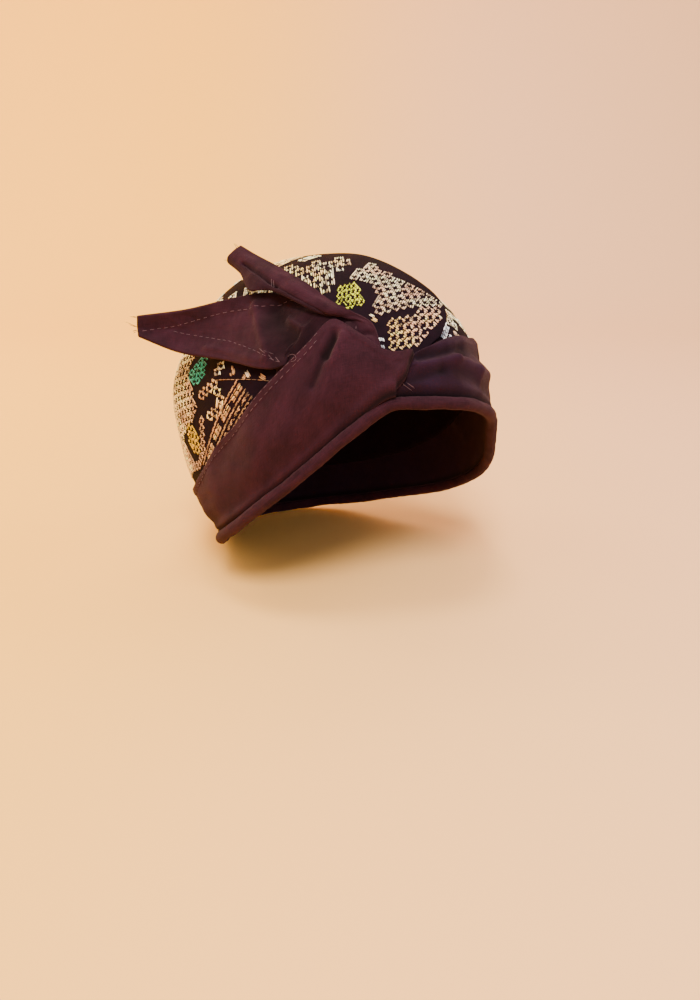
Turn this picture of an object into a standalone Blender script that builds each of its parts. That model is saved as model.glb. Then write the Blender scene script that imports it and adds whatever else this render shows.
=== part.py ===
"""Balinese head cloth (udeng), in its worn form.

Frame: metres, +Z up, the wearer faces -Y and the wearer's left is +X. The origin is the centre of
the head opening, level with the brow. Every layer of cloth is placed over one head form by two
angles: around, from the front to the wearer's left, and up, from the level of the origin. Its
distance outside the form, along the same ray, is its stand.
"""
import math

import bmesh
import bpy
from mathutils import Vector

MM = 0.001

# The head that the cloth is tied for, in millimetres
HEAD_WIDTH = 154.0
HEAD_LENGTH = 193.0
HEAD_HEIGHT = 104.0
NECK_REACH = 150.0
BOXINESS = 2.5
LEAN_BACK = 9.0
TEMPLE_HOLLOW = 10.0
TEMPLE_AT = (33.0, 15.0)        # around, up
TEMPLE_SPREAD = (28.0, 30.0)
CROWN_SOFTENING = 30.0          # degrees from the top of the head within which the hollow fades
NAPE_HOLLOW = 16.0
NAPE_FROM = (70.0, 5.0)         # where the nape starts to fall in: around, up
NAPE_SPAN = (50.0, 45.0)

# Cloth thicknesses and the gap kept between layers, in millimetres
SONGKET_WALL = 1.2
WRAP_WALL = 1.6
TAIL_WALL = 1.6
LAYER_GAP = 0.8
HEAD_GAP = 0.5
ROLL_RADIUS = 3.1
ROLL_STAND = 3.6
WRAP_ABOVE_ROLL = 2.5       # degrees between the roll's centre and the wraps' lower edges, square to it
TUCK = 6.0                  # degrees that the crown reaches down inside the wraps
SEAM_HALF = 0.15            # degrees from the centre back to each wrap's end

CREST_THICKENING = 0.8      # how much thicker the folded edge of the crown is
CREST_WIDTH = 0.2           # share of the panel, from its crest to its foot, that stands up
BELLY = 0.5                 # how far the wraps puff out between their edges
WRAP_BLEND = 0.5            # share of a wrap's width over which its lower stand turns into its upper one
FLAT_HEM = 0.12             # share of a wrap's width at each edge where its folds fade
FOLD_ROOM = {"right_wrap": 0.9, "left_wrap": 0.2}   # how far a valley may sink the inner face
FOLD_THINNING = 0.6
FLAP_END = -13.5            # around angle of the flap's tip

# The rolled lower edge: columns around, up
ROLL_PATH = [
    (-180, -33), (-155, -34), (-131, -33.5), (-115, -29), (-101, -22.5), (-81, -9.5), (-63, 5.5),
    (-47, 19), (-34, 28), (-22, 32.8), (-8, 31), (7, 28), (16, 25.5), (26, 22), (36, 15),
    (47, 5.5), (64, -8), (82, -19), (100, -27), (125, -33), (155, -34), (180, -33),
]

# The hemmed upper edge of the right wrap, up over the temple and down to the flap's tip
RIGHT_TOP = [
    (-180, -15), (-150, -13), (-124, -8), (-109, -2), (-98, 7), (-88, 18), (-77, 27), (-65, 37),
    (-49, 48), (-39, 53.5), (-30, 49.5), (-25, 45.5), (-22, 43.2), (-19, 43), (-16, 44),
    (FLAP_END, 43.5),
]

# The folded diagonal under the flap, from the roll to the flap's tip
FLAP_DIAGONAL = [(-21.5, 35.3), (-18, 37.5), (-16, 40), (FLAP_END, 42.4)]

# The upper edge of the left wrap, from its hidden start under the flap round to the centre back
LEFT_START = -25.0
LEFT_TOP = [
    (LEFT_START, 39), (-20, 40), (-13, 43), (-7, 44), (5, 45.3), (20, 45.3), (38, 44.2), (50, 39),
    (62, 31), (76, 20), (92, 6), (108, -4), (128, -11), (150, -14), (180, -15),
]

# Stands of the wraps' inner faces: columns around, at the upper edge, at the lower edge
RIGHT_STAND = [
    (-180, 4.4, 0.7), (-140, 4.4, 0.7), (-80, 4.4, 0.7), (-66, 7.4, 0.7), (-44, 8.0, 0.9), (-36, 7.6, 1.2),
    (-32, 7.4, 2.4), (-26, 7.2, 6.0), (-20, 7.0, 6.8), (FLAP_END, 7.0, 7.0),
]
LEFT_STAND = [
    (LEFT_START, 4.1, 0.7), (-18, 4.1, 0.7), (-8, 4.9, 0.8), (8, 4.9, 0.8), (24, 2.4, 0.8),
    (160, 2.4, 0.7), (172, 4.4, 0.7), (180, 4.4, 0.7),
]

# The crown's folded crest, which stands up as a ridge, and the hidden foot of the same panel: a row
# for each station from the front, over the top, to the centre back. Columns: crest (around, up),
# foot (around, up), how far the crest stands up in millimetres
CREST_AND_FOOT = [
    ((-14, 41.5), (-22, 38), 0.0), ((-6, 44.5), (-30, 43), 0.2), ((1, 46.5), (-38, 47), 0.8),
    ((7, 49), (-46, 43.5), 1.8), ((12, 52.5), (-54, 38.5), 2.8), ((14.5, 57), (-62, 32.5), 3.4),
    ((14, 62), (-69, 26.5), 3.8), ((14, 68), (-77, 20), 4.0), ((17, 75), (-86, 12), 4.2),
    ((30, 82), (-95, 3), 4.0), ((150, 84), (-107, -6), 2.6), ((170, 74), (-122, -12), 1.4),
    ((175, 58), (-138, -17), 0.8), ((177, 38), (-155, -19.5), 0.6), ((178.5, 14), (-169, -20.5), 0.4),
    ((179.5, -12), (-178, -21.5), 0.2),
]

# Soft bulges of the crown: columns around, up, height in millimetres, spread in degrees
BULGES = [
    (-160, 69, -1.6, 18), (-133, 25, 6.0, 15),
    (125, 26, 3.5, 24), (-80, 44, 1.0, 15), (-131, -24, -5.0, 20),
]

# Folds that cross the cloth: columns piece, start (around, up), end, depth, half width in degrees.
# A depth below zero is a ridge.
FOLDS = [
    ("right_wrap", (-39, 52.5), (-48, 38), 2.0, 2.6),
    ("right_wrap", (-116, -17), (-102, -22), 0.6, 3.0),
    ("left_wrap", (-6, 43.2), (34, 38.6), 1.5, 2.2),
    ("left_wrap", (-12, 42), (12, 35.4), -1.1, 3.0),
    ("left_wrap", (12, 35.4), (32, 34), -1.3, 3.2),
    ("left_wrap", (-20, 35.5), (4, 39), 0.8, 2.4),
    ("left_wrap", (44, 40), (80, 8), 1.3, 3.2),
    ("left_wrap", (40, 30), (70, 4), 0.9, 3.0),
    ("crown_fold", (-20, 56), (-21, 43), 0.5, 2.6),
    ("crown", (62, 42), (140, 12), 1.0, 5.0),
]

# How far along and across a tail its cloth is looked at to find which way it faces
NEAR_ALONG = 0.01
NEAR_ACROSS = 0.2

# Each tail's root lies under the right wrap and comes out past its edge. Angles of its upper edge,
# middle and lower edge, under the wrap and just past the wrap's edge
ROOT_STAND = 5.7
SIDE_ROOT = [
    [(-42, 49), (-50, 44), (-60, 37.5)],
    [(-43.5, 53.2), (-51.5, 48), (-61.5, 41.6)],
]
UP_ROOT = [
    [(-23.5, 41.5), (-29, 45.5), (-34, 48)],
    [(-23, 47.5), (-29, 51.8), (-34.5, 53.6)],
]

# Rows of each free tail from its root to its cut tip, in millimetres. Columns: upper edge,
# middle, lower edge.
SIDE_TAIL = [
    ((-45.5, -23.5, 94.5), (-52.5, -36, 85.5), (-63.5, -35.5, 69)),
    ((-51, -10, 98), (-57.5, -28.5, 84), (-67, -31.5, 67.5)),
    ((-56, -3.5, 97.5), (-63, -18, 82), (-71.5, -24, 67.5)),
    ((-65.5, 7.5, 94.5), (-68, 5, 80.5), (-74.5, -4, 68)),
    ((-79, 24, 89), (-79, 26, 79), (-85.5, 21.5, 69.5)),
    ((-95.5, 42, 85.5), (-95.5, 42.5, 80), (-97, 39.5, 76)),
]
UP_TAIL = [
    ((-28, -57, 87), (-33.5, -50.5, 88.5), (-37, -45.5, 90)),
    ((-34, -47, 93), (-38.5, -43.5, 92), (-40.5, -40, 93)),
    ((-38.5, -39.5, 96.5), (-44.5, -40, 92.5), (-46, -38.5, 92.5)),
    ((-43, -29.5, 103), (-50, -31, 97), (-51, -29.5, 97)),
    ((-46, -14.5, 108.5), (-54.5, -15.5, 103), (-55.5, -15, 101)),
    ((-47, -4, 111.5), (-55.5, -5, 106.5), (-60.5, -7, 99.5)),
    ((-48, 7, 114.5), (-54.5, 8, 109), (-55, 10, 106)),
    ((-49.5, 17, 118), (-55, 20, 112.5), (-53, 22, 109.5)),
]

# sRGB colour, roughness
FINISHES = {
    "aubergine_cotton": ("#42202a", 0.85),
    "aubergine_cotton_shade": ("#36191f", 0.88),
    "aubergine_cotton_roll": ("#36191f", 0.88),
    "aubergine_cotton_tails": ("#42202a", 0.85),
    "songket": ("#8f7464", 0.6),
    "songket_fold": ("#a08470", 0.6),
}


def smooth_step(x):
    x = min(max(x, 0.0), 1.0)
    return x * x * (3 - 2 * x)


def ray(around, up):
    """Unit direction from the origin at two angles in degrees."""
    a = math.radians(around)
    e = math.radians(up)
    return Vector((math.sin(a) * math.cos(e), -math.cos(a) * math.cos(e), math.sin(e)))


def angles_of(direction):
    around = math.degrees(math.atan2(direction.x, -direction.y))
    up = math.degrees(math.atan2(direction.z, math.hypot(direction.x, direction.y)))
    return around, up


def head_reach(direction):
    """Distance from the origin to the head form along a direction, in millimetres."""
    around, up = angles_of(direction)
    height = HEAD_HEIGHT if direction.z >= 0 else NECK_REACH
    plan = (2 * direction.x / HEAD_WIDTH) ** 2 + (2 * direction.y / HEAD_LENGTH) ** 2
    solid = plan ** (BOXINESS / 2) + abs(direction.z / height) ** BOXINESS
    beside = (abs(around) - TEMPLE_AT[0]) / TEMPLE_SPREAD[0]
    above = (up - TEMPLE_AT[1]) / TEMPLE_SPREAD[1]
    temple = TEMPLE_HOLLOW * math.exp(-(beside ** 2) - above ** 2)
    temple *= smooth_step((90 - up) / CROWN_SOFTENING)
    nape = NAPE_HOLLOW * smooth_step((NAPE_FROM[1] - up) / NAPE_SPAN[1])
    nape *= smooth_step((abs(around) - NAPE_FROM[0]) / NAPE_SPAN[0])
    return solid ** (-1 / BOXINESS) - temple - nape


def on_form(direction, stand):
    """Point in metres at a stand outside the head form, which leans back towards its top."""
    point = direction * (head_reach(direction) + stand)
    point.y += LEAN_BACK * max(point.z / HEAD_HEIGHT, 0.0) ** 2
    return point * MM


def slope_at(table, column, k):
    """Slope of a table's column at a row, level where the column turns."""
    before = table[max(k - 1, 0)]
    after = table[min(k + 1, len(table) - 1)]
    if (table[k][column] - before[column]) * (after[column] - table[k][column]) < 0:
        return 0.0
    return (after[column] - before[column]) / (after[0] - before[0])


def row_at(table, around):
    """Values of a table's other columns at a value of its first, on smooth curves through its rows."""
    last = len(table) - 2
    i = max(k for k in range(last + 1) if k == 0 or table[k][0] <= around)
    span = table[i + 1][0] - table[i][0]
    t = min(max((around - table[i][0]) / span, 0.0), 1.0)
    values = []
    for column in range(1, len(table[0])):
        start, end = table[i][column], table[i + 1][column]
        bend = slope_at(table, column, i) * t * (1 - t) ** 2
        bend -= slope_at(table, column, i + 1) * t * t * (1 - t)
        values.append(start + (end - start) * smooth_step(t) + span * bend)
    return values


def curve_through(points, t):
    """Catmull-Rom curve through vectors, t from 0 to 1."""
    last = len(points) - 1
    i = min(int(t * last), last - 1)
    s = t * last - i
    p = [points[min(max(i + k, 0), last)] for k in (-1, 0, 1, 2)]
    return 0.5 * (
        2 * p[1]
        + (p[2] - p[0]) * s
        + (2 * p[0] - 5 * p[1] + 4 * p[2] - p[3]) * s * s
        + (3 * p[1] - 3 * p[2] + p[3] - p[0]) * s ** 3
    )


def bulge(direction):
    total = 0.0
    for around, up, height, spread in BULGES:
        apart = math.degrees(direction.angle(ray(around, up)))
        total += height * math.exp(-((apart / spread) ** 2))
    return total


def fold_depth(piece, direction):
    """How far a piece's folds push its cloth in at a direction, in millimetres."""
    total = 0.0
    for name, start, end, depth, half_width in FOLDS:
        if name != piece:
            continue
        a = ray(*start)
        b = ray(*end)
        along = (direction - a).dot(b - a) / (b - a).length_squared
        nearest = a + (b - a) * min(max(along, 0.0), 1.0)
        apart = math.degrees((direction - nearest).length)
        total += depth * math.exp(-((apart / half_width) ** 2))
    return total


def finish(name, mesh, colour, smooth=True):
    tint, roughness = FINISHES[colour]
    material = bpy.data.materials.get(colour) or bpy.data.materials.new(colour)
    material.use_nodes = True
    shader = material.node_tree.nodes["Principled BSDF"]
    parts = [int(tint[k:k + 2], 16) / 255 for k in (1, 3, 5)]
    linear = [((c + 0.055) / 1.055) ** 2.4 if c > 0.04045 else c / 12.92 for c in parts]
    shader.inputs["Base Color"].default_value = (*linear, 1.0)
    shader.inputs["Roughness"].default_value = roughness
    piece = bpy.data.objects.new(name, mesh)
    bpy.context.scene.collection.objects.link(piece)
    mesh.materials.append(material)
    if smooth:
        mesh.shade_smooth()
        mesh.set_sharp_from_angle(angle=math.radians(50))
    return piece


def cloth_wall(name, colour, columns, rows, outer, inner, merge=False):
    """A closed wall of cloth between two faces, each a function of u and v from 0 to 1."""
    bm = bmesh.new()
    loops = []
    for face, flip in ((outer, False), (inner, True)):
        made = bmesh.ops.create_grid(bm, x_segments=columns, y_segments=rows, size=0.5)
        for vertex in made["verts"]:
            vertex.co = face(vertex.co.x + 0.5, vertex.co.y + 0.5)
        corners = set(made["verts"])
        if merge:
            bmesh.ops.remove_doubles(bm, verts=made["verts"], dist=0.00001)
            corners = {v for v in corners if v.is_valid}
        sides = {f for v in corners for f in v.link_faces}
        if flip:
            bmesh.ops.reverse_faces(bm, faces=list(sides))
        loops += [e for f in sides for e in f.edges if e.is_boundary]
    bmesh.ops.bridge_loops(bm, edges=list(set(loops)))
    bmesh.ops.recalc_face_normals(bm, faces=bm.faces)
    mesh = bpy.data.meshes.new(name)
    bm.to_mesh(mesh)
    bm.free()
    return finish(name, mesh, colour)


def crown_face(u, v, stand):
    """The songket cap under the fold: u runs round the head, v from its foot to the top."""
    around = -180 + 360 * u
    top = row_at(RIGHT_TOP, around) if around < FLAP_END else row_at(LEFT_TOP, around)
    foot = top[0] - TUCK
    direction = ray(around, foot + (90 - foot) * v)
    return on_form(direction, stand + bulge(direction) - fold_depth("crown", direction))


def make_crown():
    def outer(u, v):
        return crown_face(u, v, HEAD_GAP + SONGKET_WALL)

    def inner(u, v):
        return crown_face(u, v, HEAD_GAP)

    return cloth_wall("crown", "songket", 60, 12, outer, inner, merge=True)


def fold_face(u, v, lift):
    """The higher songket panel: u runs from the front to the back, v from its crest to its foot."""
    crest = curve_through([ray(*row[0]) for row in CREST_AND_FOOT], u).normalized()
    foot = curve_through([ray(*row[1]) for row in CREST_AND_FOOT], u).normalized()
    direction = crest.slerp(foot, v)
    near_crest = math.exp(-((v / CREST_WIDTH) ** 2))
    rises = [(k / (len(CREST_AND_FOOT) - 1), row[2]) for k, row in enumerate(CREST_AND_FOOT)]
    rise = row_at(rises, u)[0]
    stand = HEAD_GAP + SONGKET_WALL + LAYER_GAP + rise * near_crest
    stand += lift * (SONGKET_WALL + CREST_THICKENING * near_crest * min(rise, 1.0))
    stand -= lift * fold_depth("crown_fold", direction) * min(v / CREST_WIDTH, 1.0)
    return on_form(direction, stand + bulge(direction))


def make_crown_fold():
    def outer(u, v):
        return fold_face(u, v, 1.0)

    def inner(u, v):
        return fold_face(u, v, 0.0)

    return cloth_wall("crown_fold", "songket_fold", 44, 13, outer, inner)


def wrap_face(piece, around, v, bottom, top, stands, lift):
    """One wrap at an angle: v runs from its lower edge to its upper edge."""
    direction = ray(around, bottom + (top - bottom) * v)
    at_top, at_bottom = row_at(stands, around)
    stand = at_bottom + (at_top - at_bottom) * smooth_step(v / WRAP_BLEND) + bulge(direction)
    stand += BELLY * math.sin(math.pi * v)
    sink = fold_depth(piece, direction) * smooth_step(min(v, 1 - v) / FLAT_HEM)
    room = FOLD_ROOM[piece] + lift * FOLD_THINNING
    return on_form(direction, stand + lift * WRAP_WALL - min(sink, room))


def wrap_foot(around):
    """Up angle of the wraps' lower edge, just clear of the roll."""
    up = row_at(ROLL_PATH, around)[0]
    ahead = row_at(ROLL_PATH, around + 1)[0]
    behind = row_at(ROLL_PATH, around - 1)[0]
    slope = (ahead - behind) / 2 / math.cos(math.radians(up))
    return up + WRAP_ABOVE_ROLL * math.hypot(1, slope)


def make_right_wrap():
    def face(u, v, lift):
        start = -180 + SEAM_HALF
        around = start + (FLAP_END - start) * u
        bottom = wrap_foot(around)
        if around > FLAP_DIAGONAL[0][0]:
            bottom = max(bottom, row_at(FLAP_DIAGONAL, around)[0])
        top = row_at(RIGHT_TOP, around)[0]
        return wrap_face("right_wrap", around, v, bottom, top, RIGHT_STAND, lift)

    return cloth_wall(
        "right_wrap", "aubergine_cotton", 52, 8,
        lambda u, v: face(u, v, 1.0), lambda u, v: face(u, v, 0.0),
    )


def make_left_wrap():
    def face(u, v, lift):
        end = 180 - SEAM_HALF
        around = LEFT_START + (end - LEFT_START) * u
        bottom = wrap_foot(around)
        top = row_at(LEFT_TOP, around)[0]
        return wrap_face("left_wrap", around, v, bottom, top, LEFT_STAND, lift)

    return cloth_wall(
        "left_wrap", "aubergine_cotton_shade", 52, 8,
        lambda u, v: face(u, v, 1.0), lambda u, v: face(u, v, 0.0),
    )


def make_rim_roll():
    """The wound lower edge, one closed ring of round section."""
    stations = 72
    curve = bpy.data.curves.new("rim_roll", "CURVE")
    curve.dimensions = "3D"
    curve.bevel_depth = ROLL_RADIUS * MM
    curve.bevel_resolution = 2
    spline = curve.splines.new("POLY")
    spline.points.add(stations - 1)
    spline.use_cyclic_u = True
    for k in range(stations):
        around = -180 + 360 * k / stations
        direction = ray(around, row_at(ROLL_PATH, around)[0])
        spline.points[k].co = (*on_form(direction, ROLL_STAND + bulge(direction)), 1.0)
    return finish("rim_roll", curve, "aubergine_cotton_roll", smooth=False)


def edge_table(points):
    """Rows of length along a chain of points, with the points' coordinates."""
    rows = [(0.0, *points[0])]
    for before, after in zip(points, points[1:]):
        rows.append((rows[-1][0] + (after - before).length, *after))
    return rows


def make_tail(name, root, rows, columns):
    """A tail's cloth: u runs from root to tip, v across from the upper edge to the lower edge."""
    lying = [[on_form(ray(*at), ROOT_STAND + bulge(ray(*at))) / MM for at in row] for row in root]
    rows = lying + [[Vector(point) for point in row] for row in rows]
    tables = [edge_table([row[k] for row in rows]) for k in range(3)]

    def middle(u, v):
        edges = [Vector(row_at(table, u * table[-1][0])) for table in tables]
        if v < 0.5:
            return edges[0].lerp(edges[1], 2 * v)
        return edges[1].lerp(edges[2], 2 * v - 1)

    def face(u, v, side):
        along = middle(min(u + NEAR_ALONG, 1), v) - middle(max(u - NEAR_ALONG, 0), v)
        across = middle(u, min(v + NEAR_ACROSS, 1)) - middle(u, max(v - NEAR_ACROSS, 0))
        outward = across.cross(along).normalized()
        return (middle(u, v) + outward * side * TAIL_WALL / 2) * MM

    return cloth_wall(
        name, "aubergine_cotton_tails", columns, 6,
        lambda u, v: face(u, v, 1), lambda u, v: face(u, v, -1),
    )


def clear_scene():
    for old in list(bpy.data.objects):
        bpy.data.objects.remove(old, do_unlink=True)


def main():
    clear_scene()
    make_crown()
    make_crown_fold()
    make_right_wrap()
    make_left_wrap()
    make_rim_roll()
    make_tail("side_tail", SIDE_ROOT, SIDE_TAIL, 18)
    make_tail("up_tail", UP_ROOT, UP_TAIL, 22)


main()
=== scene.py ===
import math

import bmesh
import bpy
import numpy as np
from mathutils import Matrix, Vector
from mathutils.bvhtree import BVHTree
from mathutils.kdtree import KDTree


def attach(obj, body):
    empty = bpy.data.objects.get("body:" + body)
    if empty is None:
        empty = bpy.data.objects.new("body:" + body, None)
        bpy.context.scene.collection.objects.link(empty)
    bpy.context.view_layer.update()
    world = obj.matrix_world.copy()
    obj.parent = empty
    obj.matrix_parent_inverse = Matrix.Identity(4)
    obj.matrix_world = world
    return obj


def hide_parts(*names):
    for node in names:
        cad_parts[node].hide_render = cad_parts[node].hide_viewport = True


# Balinese head cloth (udeng) in its worn form: a brocade crown, two plain hemmed bands, a wound lower
# edge and two free ends. Lengths are in millimetres until a mesh is made, angles in degrees.

bl_info = {
    "name": "Balinese Head Cloth",
    "version": (1, 0, 0),
    "blender": (4, 5, 0),
    "location": "3D View > Sidebar > Head Cloth",
    "description": "A wrapped head cloth with brocade crown, hemmed bands, rolled edge and free ends",
    "category": "Add Mesh",
}

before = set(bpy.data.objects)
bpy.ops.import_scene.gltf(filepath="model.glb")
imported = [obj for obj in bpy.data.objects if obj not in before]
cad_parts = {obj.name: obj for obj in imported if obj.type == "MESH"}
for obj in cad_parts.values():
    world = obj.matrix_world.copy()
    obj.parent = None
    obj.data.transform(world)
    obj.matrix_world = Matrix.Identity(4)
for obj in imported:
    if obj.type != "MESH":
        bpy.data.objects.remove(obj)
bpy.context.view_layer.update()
MM = 0.001

# The form that the cloth is tied over: its measures, how square its sections are, and its hollows
FORM_WIDTH = 154.0
FORM_LENGTH = 193.0
FORM_HEIGHT = 104.0       # from the origin to the top
FORM_DEPTH = 150.0        # from the origin down, where the form would close
FORM_REACH = 90.0         # its mean radius, for the size of waves on it
BOXINESS = 2.5            # exponent of its sections, 2 for an ellipse
LEAN_BACK = 9.0           # how far back its top stands
SIDE_HOLLOW = 10.0        # hollows on both sides: depth, middle and spread as (around, up)
SIDE_AT = (33.0, 15.0)
SIDE_SPREAD = (28.0, 30.0)
CROWN_SOFTENING = 30.0    # degrees from the top over which they fade
BACK_HOLLOW = 16.0        # hollow under the back: depth, start and span as (around, up)
BACK_FROM = (70.0, 5.0)
BACK_SPAN = (50.0, 45.0)

# The solids' walls and the gaps between them, which the cloth here keeps
SONGKET_WALL = 1.2
WRAP_WALL = 1.6
TAIL_WALL = 1.6
LAYER_GAP = 0.8
FORM_GAP = 0.5
ROLL_RADIUS = 3.1
ROLL_STAND = 3.6      # of the roll's centre line over the form
ROOT_STAND = 5.7      # of the free ends' roots over the form
WRAP_ABOVE_ROLL = 1.0  # in degrees
TUCK = 6.0            # how far the crown goes down under the bands, in degrees
SEAM_HALF = 0.15      # half the gap between the bands at the centre back, in degrees
CROWN_CROWDING = 1.1  # how much the crown's rows crowd towards its top, 1 for evenly
CREST_THICKENING = 0.8
CREST_WIDTH = 0.2     # of the crest, as a share of the folded panel
BELLY = 0.5           # how far a band stands out midway
PUFF = 1.6            # how far the bands stand out just above the roll, where and how wide
PUFF_AT = 4.4
PUFF_WIDTH = 2.4
WRAP_BLEND = 0.5      # share of a band's height over which its stand changes
FLAT_HEM = 0.07       # share of a band's height, at both edges, that no fold reaches
FLAP_END = -13.5
LEFT_START = -25.0

# Centre line of the rolled lower edge: around, up
ROLL_PATH = [
    (-180, -33), (-155, -34), (-131, -33.5), (-115, -29), (-101, -22.5), (-81, -9.5), (-63, 5.5),
    (-47, 19), (-34, 28), (-22, 32.8), (-8, 31), (7, 28), (16, 25.5), (26, 22), (36, 15),
    (47, 5.5), (64, -8), (82, -19), (100, -27), (125, -33), (155, -34), (180, -33),
]

# Upper edges of the two bands, and the folded diagonal under the flap: around, up
RIGHT_TOP = [
    (-180, -15), (-150, -13), (-124, -8), (-109, -2), (-98, 7), (-88, 18), (-77, 27), (-65, 37),
    (-49, 48), (-39, 53.5), (-30, 49.5), (-25, 46.2), (-22, 44.6), (-19, 43.9), (-16, 43.6),
    (FLAP_END, 43.2),
]
FLAP_DIAGONAL = [(-21.5, 35.3), (-18, 37.5), (-16, 40), (FLAP_END, 42.4)]
LEFT_TOP = [
    (LEFT_START, 39), (-20, 40), (-13, 43), (-7, 44), (5, 45.3), (20, 45.3), (38, 44.2), (50, 39),
    (62, 31), (76, 20), (92, 6), (108, -4), (128, -11), (150, -14), (180, -15),
]

# Stands of the bands' inner faces over the form: around, at the upper edge, at the lower edge
RIGHT_STAND = [
    (-180, 4.4, 0.7), (-140, 4.4, 0.7), (-80, 4.4, 0.7), (-66, 7.4, 0.7), (-44, 8.0, 0.9), (-36, 7.6, 1.2),
    (-32, 7.4, 2.4), (-26, 7.2, 6.0), (-20, 7.0, 6.8), (FLAP_END, 7.0, 7.0),
]
LEFT_STAND = [
    (LEFT_START, 4.1, 0.7), (-18, 4.1, 0.7), (-8, 4.9, 0.8), (8, 4.9, 0.8), (24, 2.4, 0.8),
    (160, 2.4, 0.7), (172, 4.4, 0.7), (180, 4.4, 0.7),
]

# The crown's folded crest from the front over the top to the back, and the hidden foot of that
# panel: crest (around, up), foot (around, up), how far the crest stands up
CREST_AND_FOOT = [
    ((-14, 41.5), (-22, 38), 0.0), ((-6, 44.5), (-30, 43), 0.2), ((1, 46.5), (-38, 47), 0.8),
    ((7, 49), (-46, 43.5), 1.8), ((12, 52.5), (-54, 38.5), 2.8), ((14.5, 57), (-62, 32.5), 3.4),
    ((14, 62), (-69, 26.5), 3.8), ((14, 68), (-77, 20), 4.0), ((17, 75), (-86, 12), 4.2),
    ((30, 82), (-95, 3), 4.0), ((150, 84), (-107, -6), 2.6), ((170, 74), (-122, -12), 1.4),
    ((175, 58), (-138, -17), 0.8), ((177, 38), (-155, -19.5), 0.6), ((178.5, 14), (-169, -20.5), 0.4),
    ((179.5, -12), (-178, -21.5), 0.2),
]

# Soft bulges of the crown: around, up, height, spread in degrees
BULGES = [
    (-160, 69, -1.6, 18), (-133, 25, 6.0, 15), (125, 26, 3.5, 24), (-80, 44, 1.0, 15),
    (-131, -24, -5.0, 20),
]

# Folds across the cloth: piece, start, end, depth, half width in degrees. Below zero is a ridge.
FOLDS = [
    ("right_wrap", (-38.8, 49.6), (-43, 45.0), 2.8, 1.0),
    ("right_wrap", (-38.6, 48.6), (-41.8, 44.2), 2.2, 0.7),
    ("right_wrap", (-36.6, 49.0), (-40.8, 43.6), -1.6, 1.2),
    ("right_wrap", (-43, 45.0), (-47.5, 38), 1.6, 1.0),
    ("right_wrap", (-36.0, 49.5), (-42, 41), -0.8, 2.4),
    ("right_wrap", (-56, 40), (-84, 18), 0.5, 3.4),
    ("right_wrap", (-60, 30), (-104, -8), -0.5, 4.2),
    ("right_wrap", (-116, -17), (-102, -22), 0.6, 3.0),
    ("left_wrap", (-12, 41.8), (6, 41.4), 2.0, 1.1),
    ("left_wrap", (6, 41.4), (34, 38.6), 2.4, 1.5),
    ("left_wrap", (34, 38.6), (66, 26), 1.8, 2.2),
    ("left_wrap", (-4, 43.4), (24, 41.6), -0.6, 1.6),
    ("left_wrap", (-13, 40.2), (1, 39.4), -1.7, 1.2),
    ("left_wrap", (1, 39.4), (12, 35.8), -2.1, 1.5),
    ("left_wrap", (12, 35.8), (34, 34), -1.9, 2.0),
    ("left_wrap", (-18, 36.8), (-5, 38), 1.4, 1.2),
    ("left_wrap", (-5, 38), (9, 33.5), 1.0, 1.6),
    ("left_wrap", (14, 31.5), (46, 28), 1.3, 2.0),
    ("left_wrap", (44, 40), (80, 8), 1.3, 3.2),
    ("left_wrap", (46, 28), (74, 4), 0.9, 3.0),
    ("left_wrap", (96, 2), (150, -22), 1.0, 3.0),
    ("left_wrap", (110, -8), (170, -20), -0.7, 3.2),
    ("crown_fold", (-20, 56), (-21, 43), 0.5, 2.6),
    ("crown", (62, 42), (140, 12), 1.0, 5.0),
]
FOLD_ROOM = {"right_wrap": 2.8, "left_wrap": 2.2}

# Roots of the free ends under the right band, as (around, up), then rows from the root to the cut
# tip, as (x, y, z). Columns: upper edge, middle, lower edge.
SIDE_ROOT = [
    [(-37.5, 50), (-49, 44.3), (-60, 37.5)],
    [(-37.5, 54.8), (-50.5, 48.4), (-61.5, 41.6)],
]
UP_ROOT = [
    [(-23.5, 41.5), (-29, 45.5), (-34, 48)],
    [(-23, 47.5), (-29, 51.8), (-34.5, 53.6)],
]
SIDE_TAIL = [
    ((-43, -31, 93.2), (-52.5, -36, 85.5), (-63.5, -35.5, 69)),
    ((-51, -10, 98), (-57.5, -28.5, 84), (-67, -31.5, 67.5)),
    ((-56, -3.5, 97.5), (-63, -18, 82), (-71.5, -24, 67.5)),
    ((-65.5, 7.5, 94.5), (-68, 5, 80.5), (-74.5, -4, 68)),
    ((-79, 24, 89), (-79, 26, 79), (-85.5, 21.5, 69.5)),
    ((-95.5, 42, 85.5), (-95.5, 42.5, 80), (-97, 39.5, 76)),
]
UP_TAIL = [
    ((-28, -57, 87), (-32, -51, 87.5), (-34, -46.5, 87)),
    ((-34, -47, 93), (-37.5, -42.5, 90.5), (-38.5, -39.5, 88.7)),
    ((-38.5, -39.5, 96.5), (-44.5, -40, 92.5), (-46, -38.5, 92.5)),
    ((-43, -29.5, 103), (-50, -31, 97), (-51, -29.5, 97)),
    ((-46, -14.5, 108.5), (-54.5, -15.5, 103), (-55.5, -15, 101)),
    ((-47, -4, 111.5), (-55.5, -5, 106.5), (-60.5, -7, 99.5)),
    ((-48, 7, 114.5), (-54.5, 8, 109), (-55, 10, 106)),
    ((-49.5, 17, 118), (-55, 20, 112.5), (-53, 22, 109.5)),
]

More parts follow.
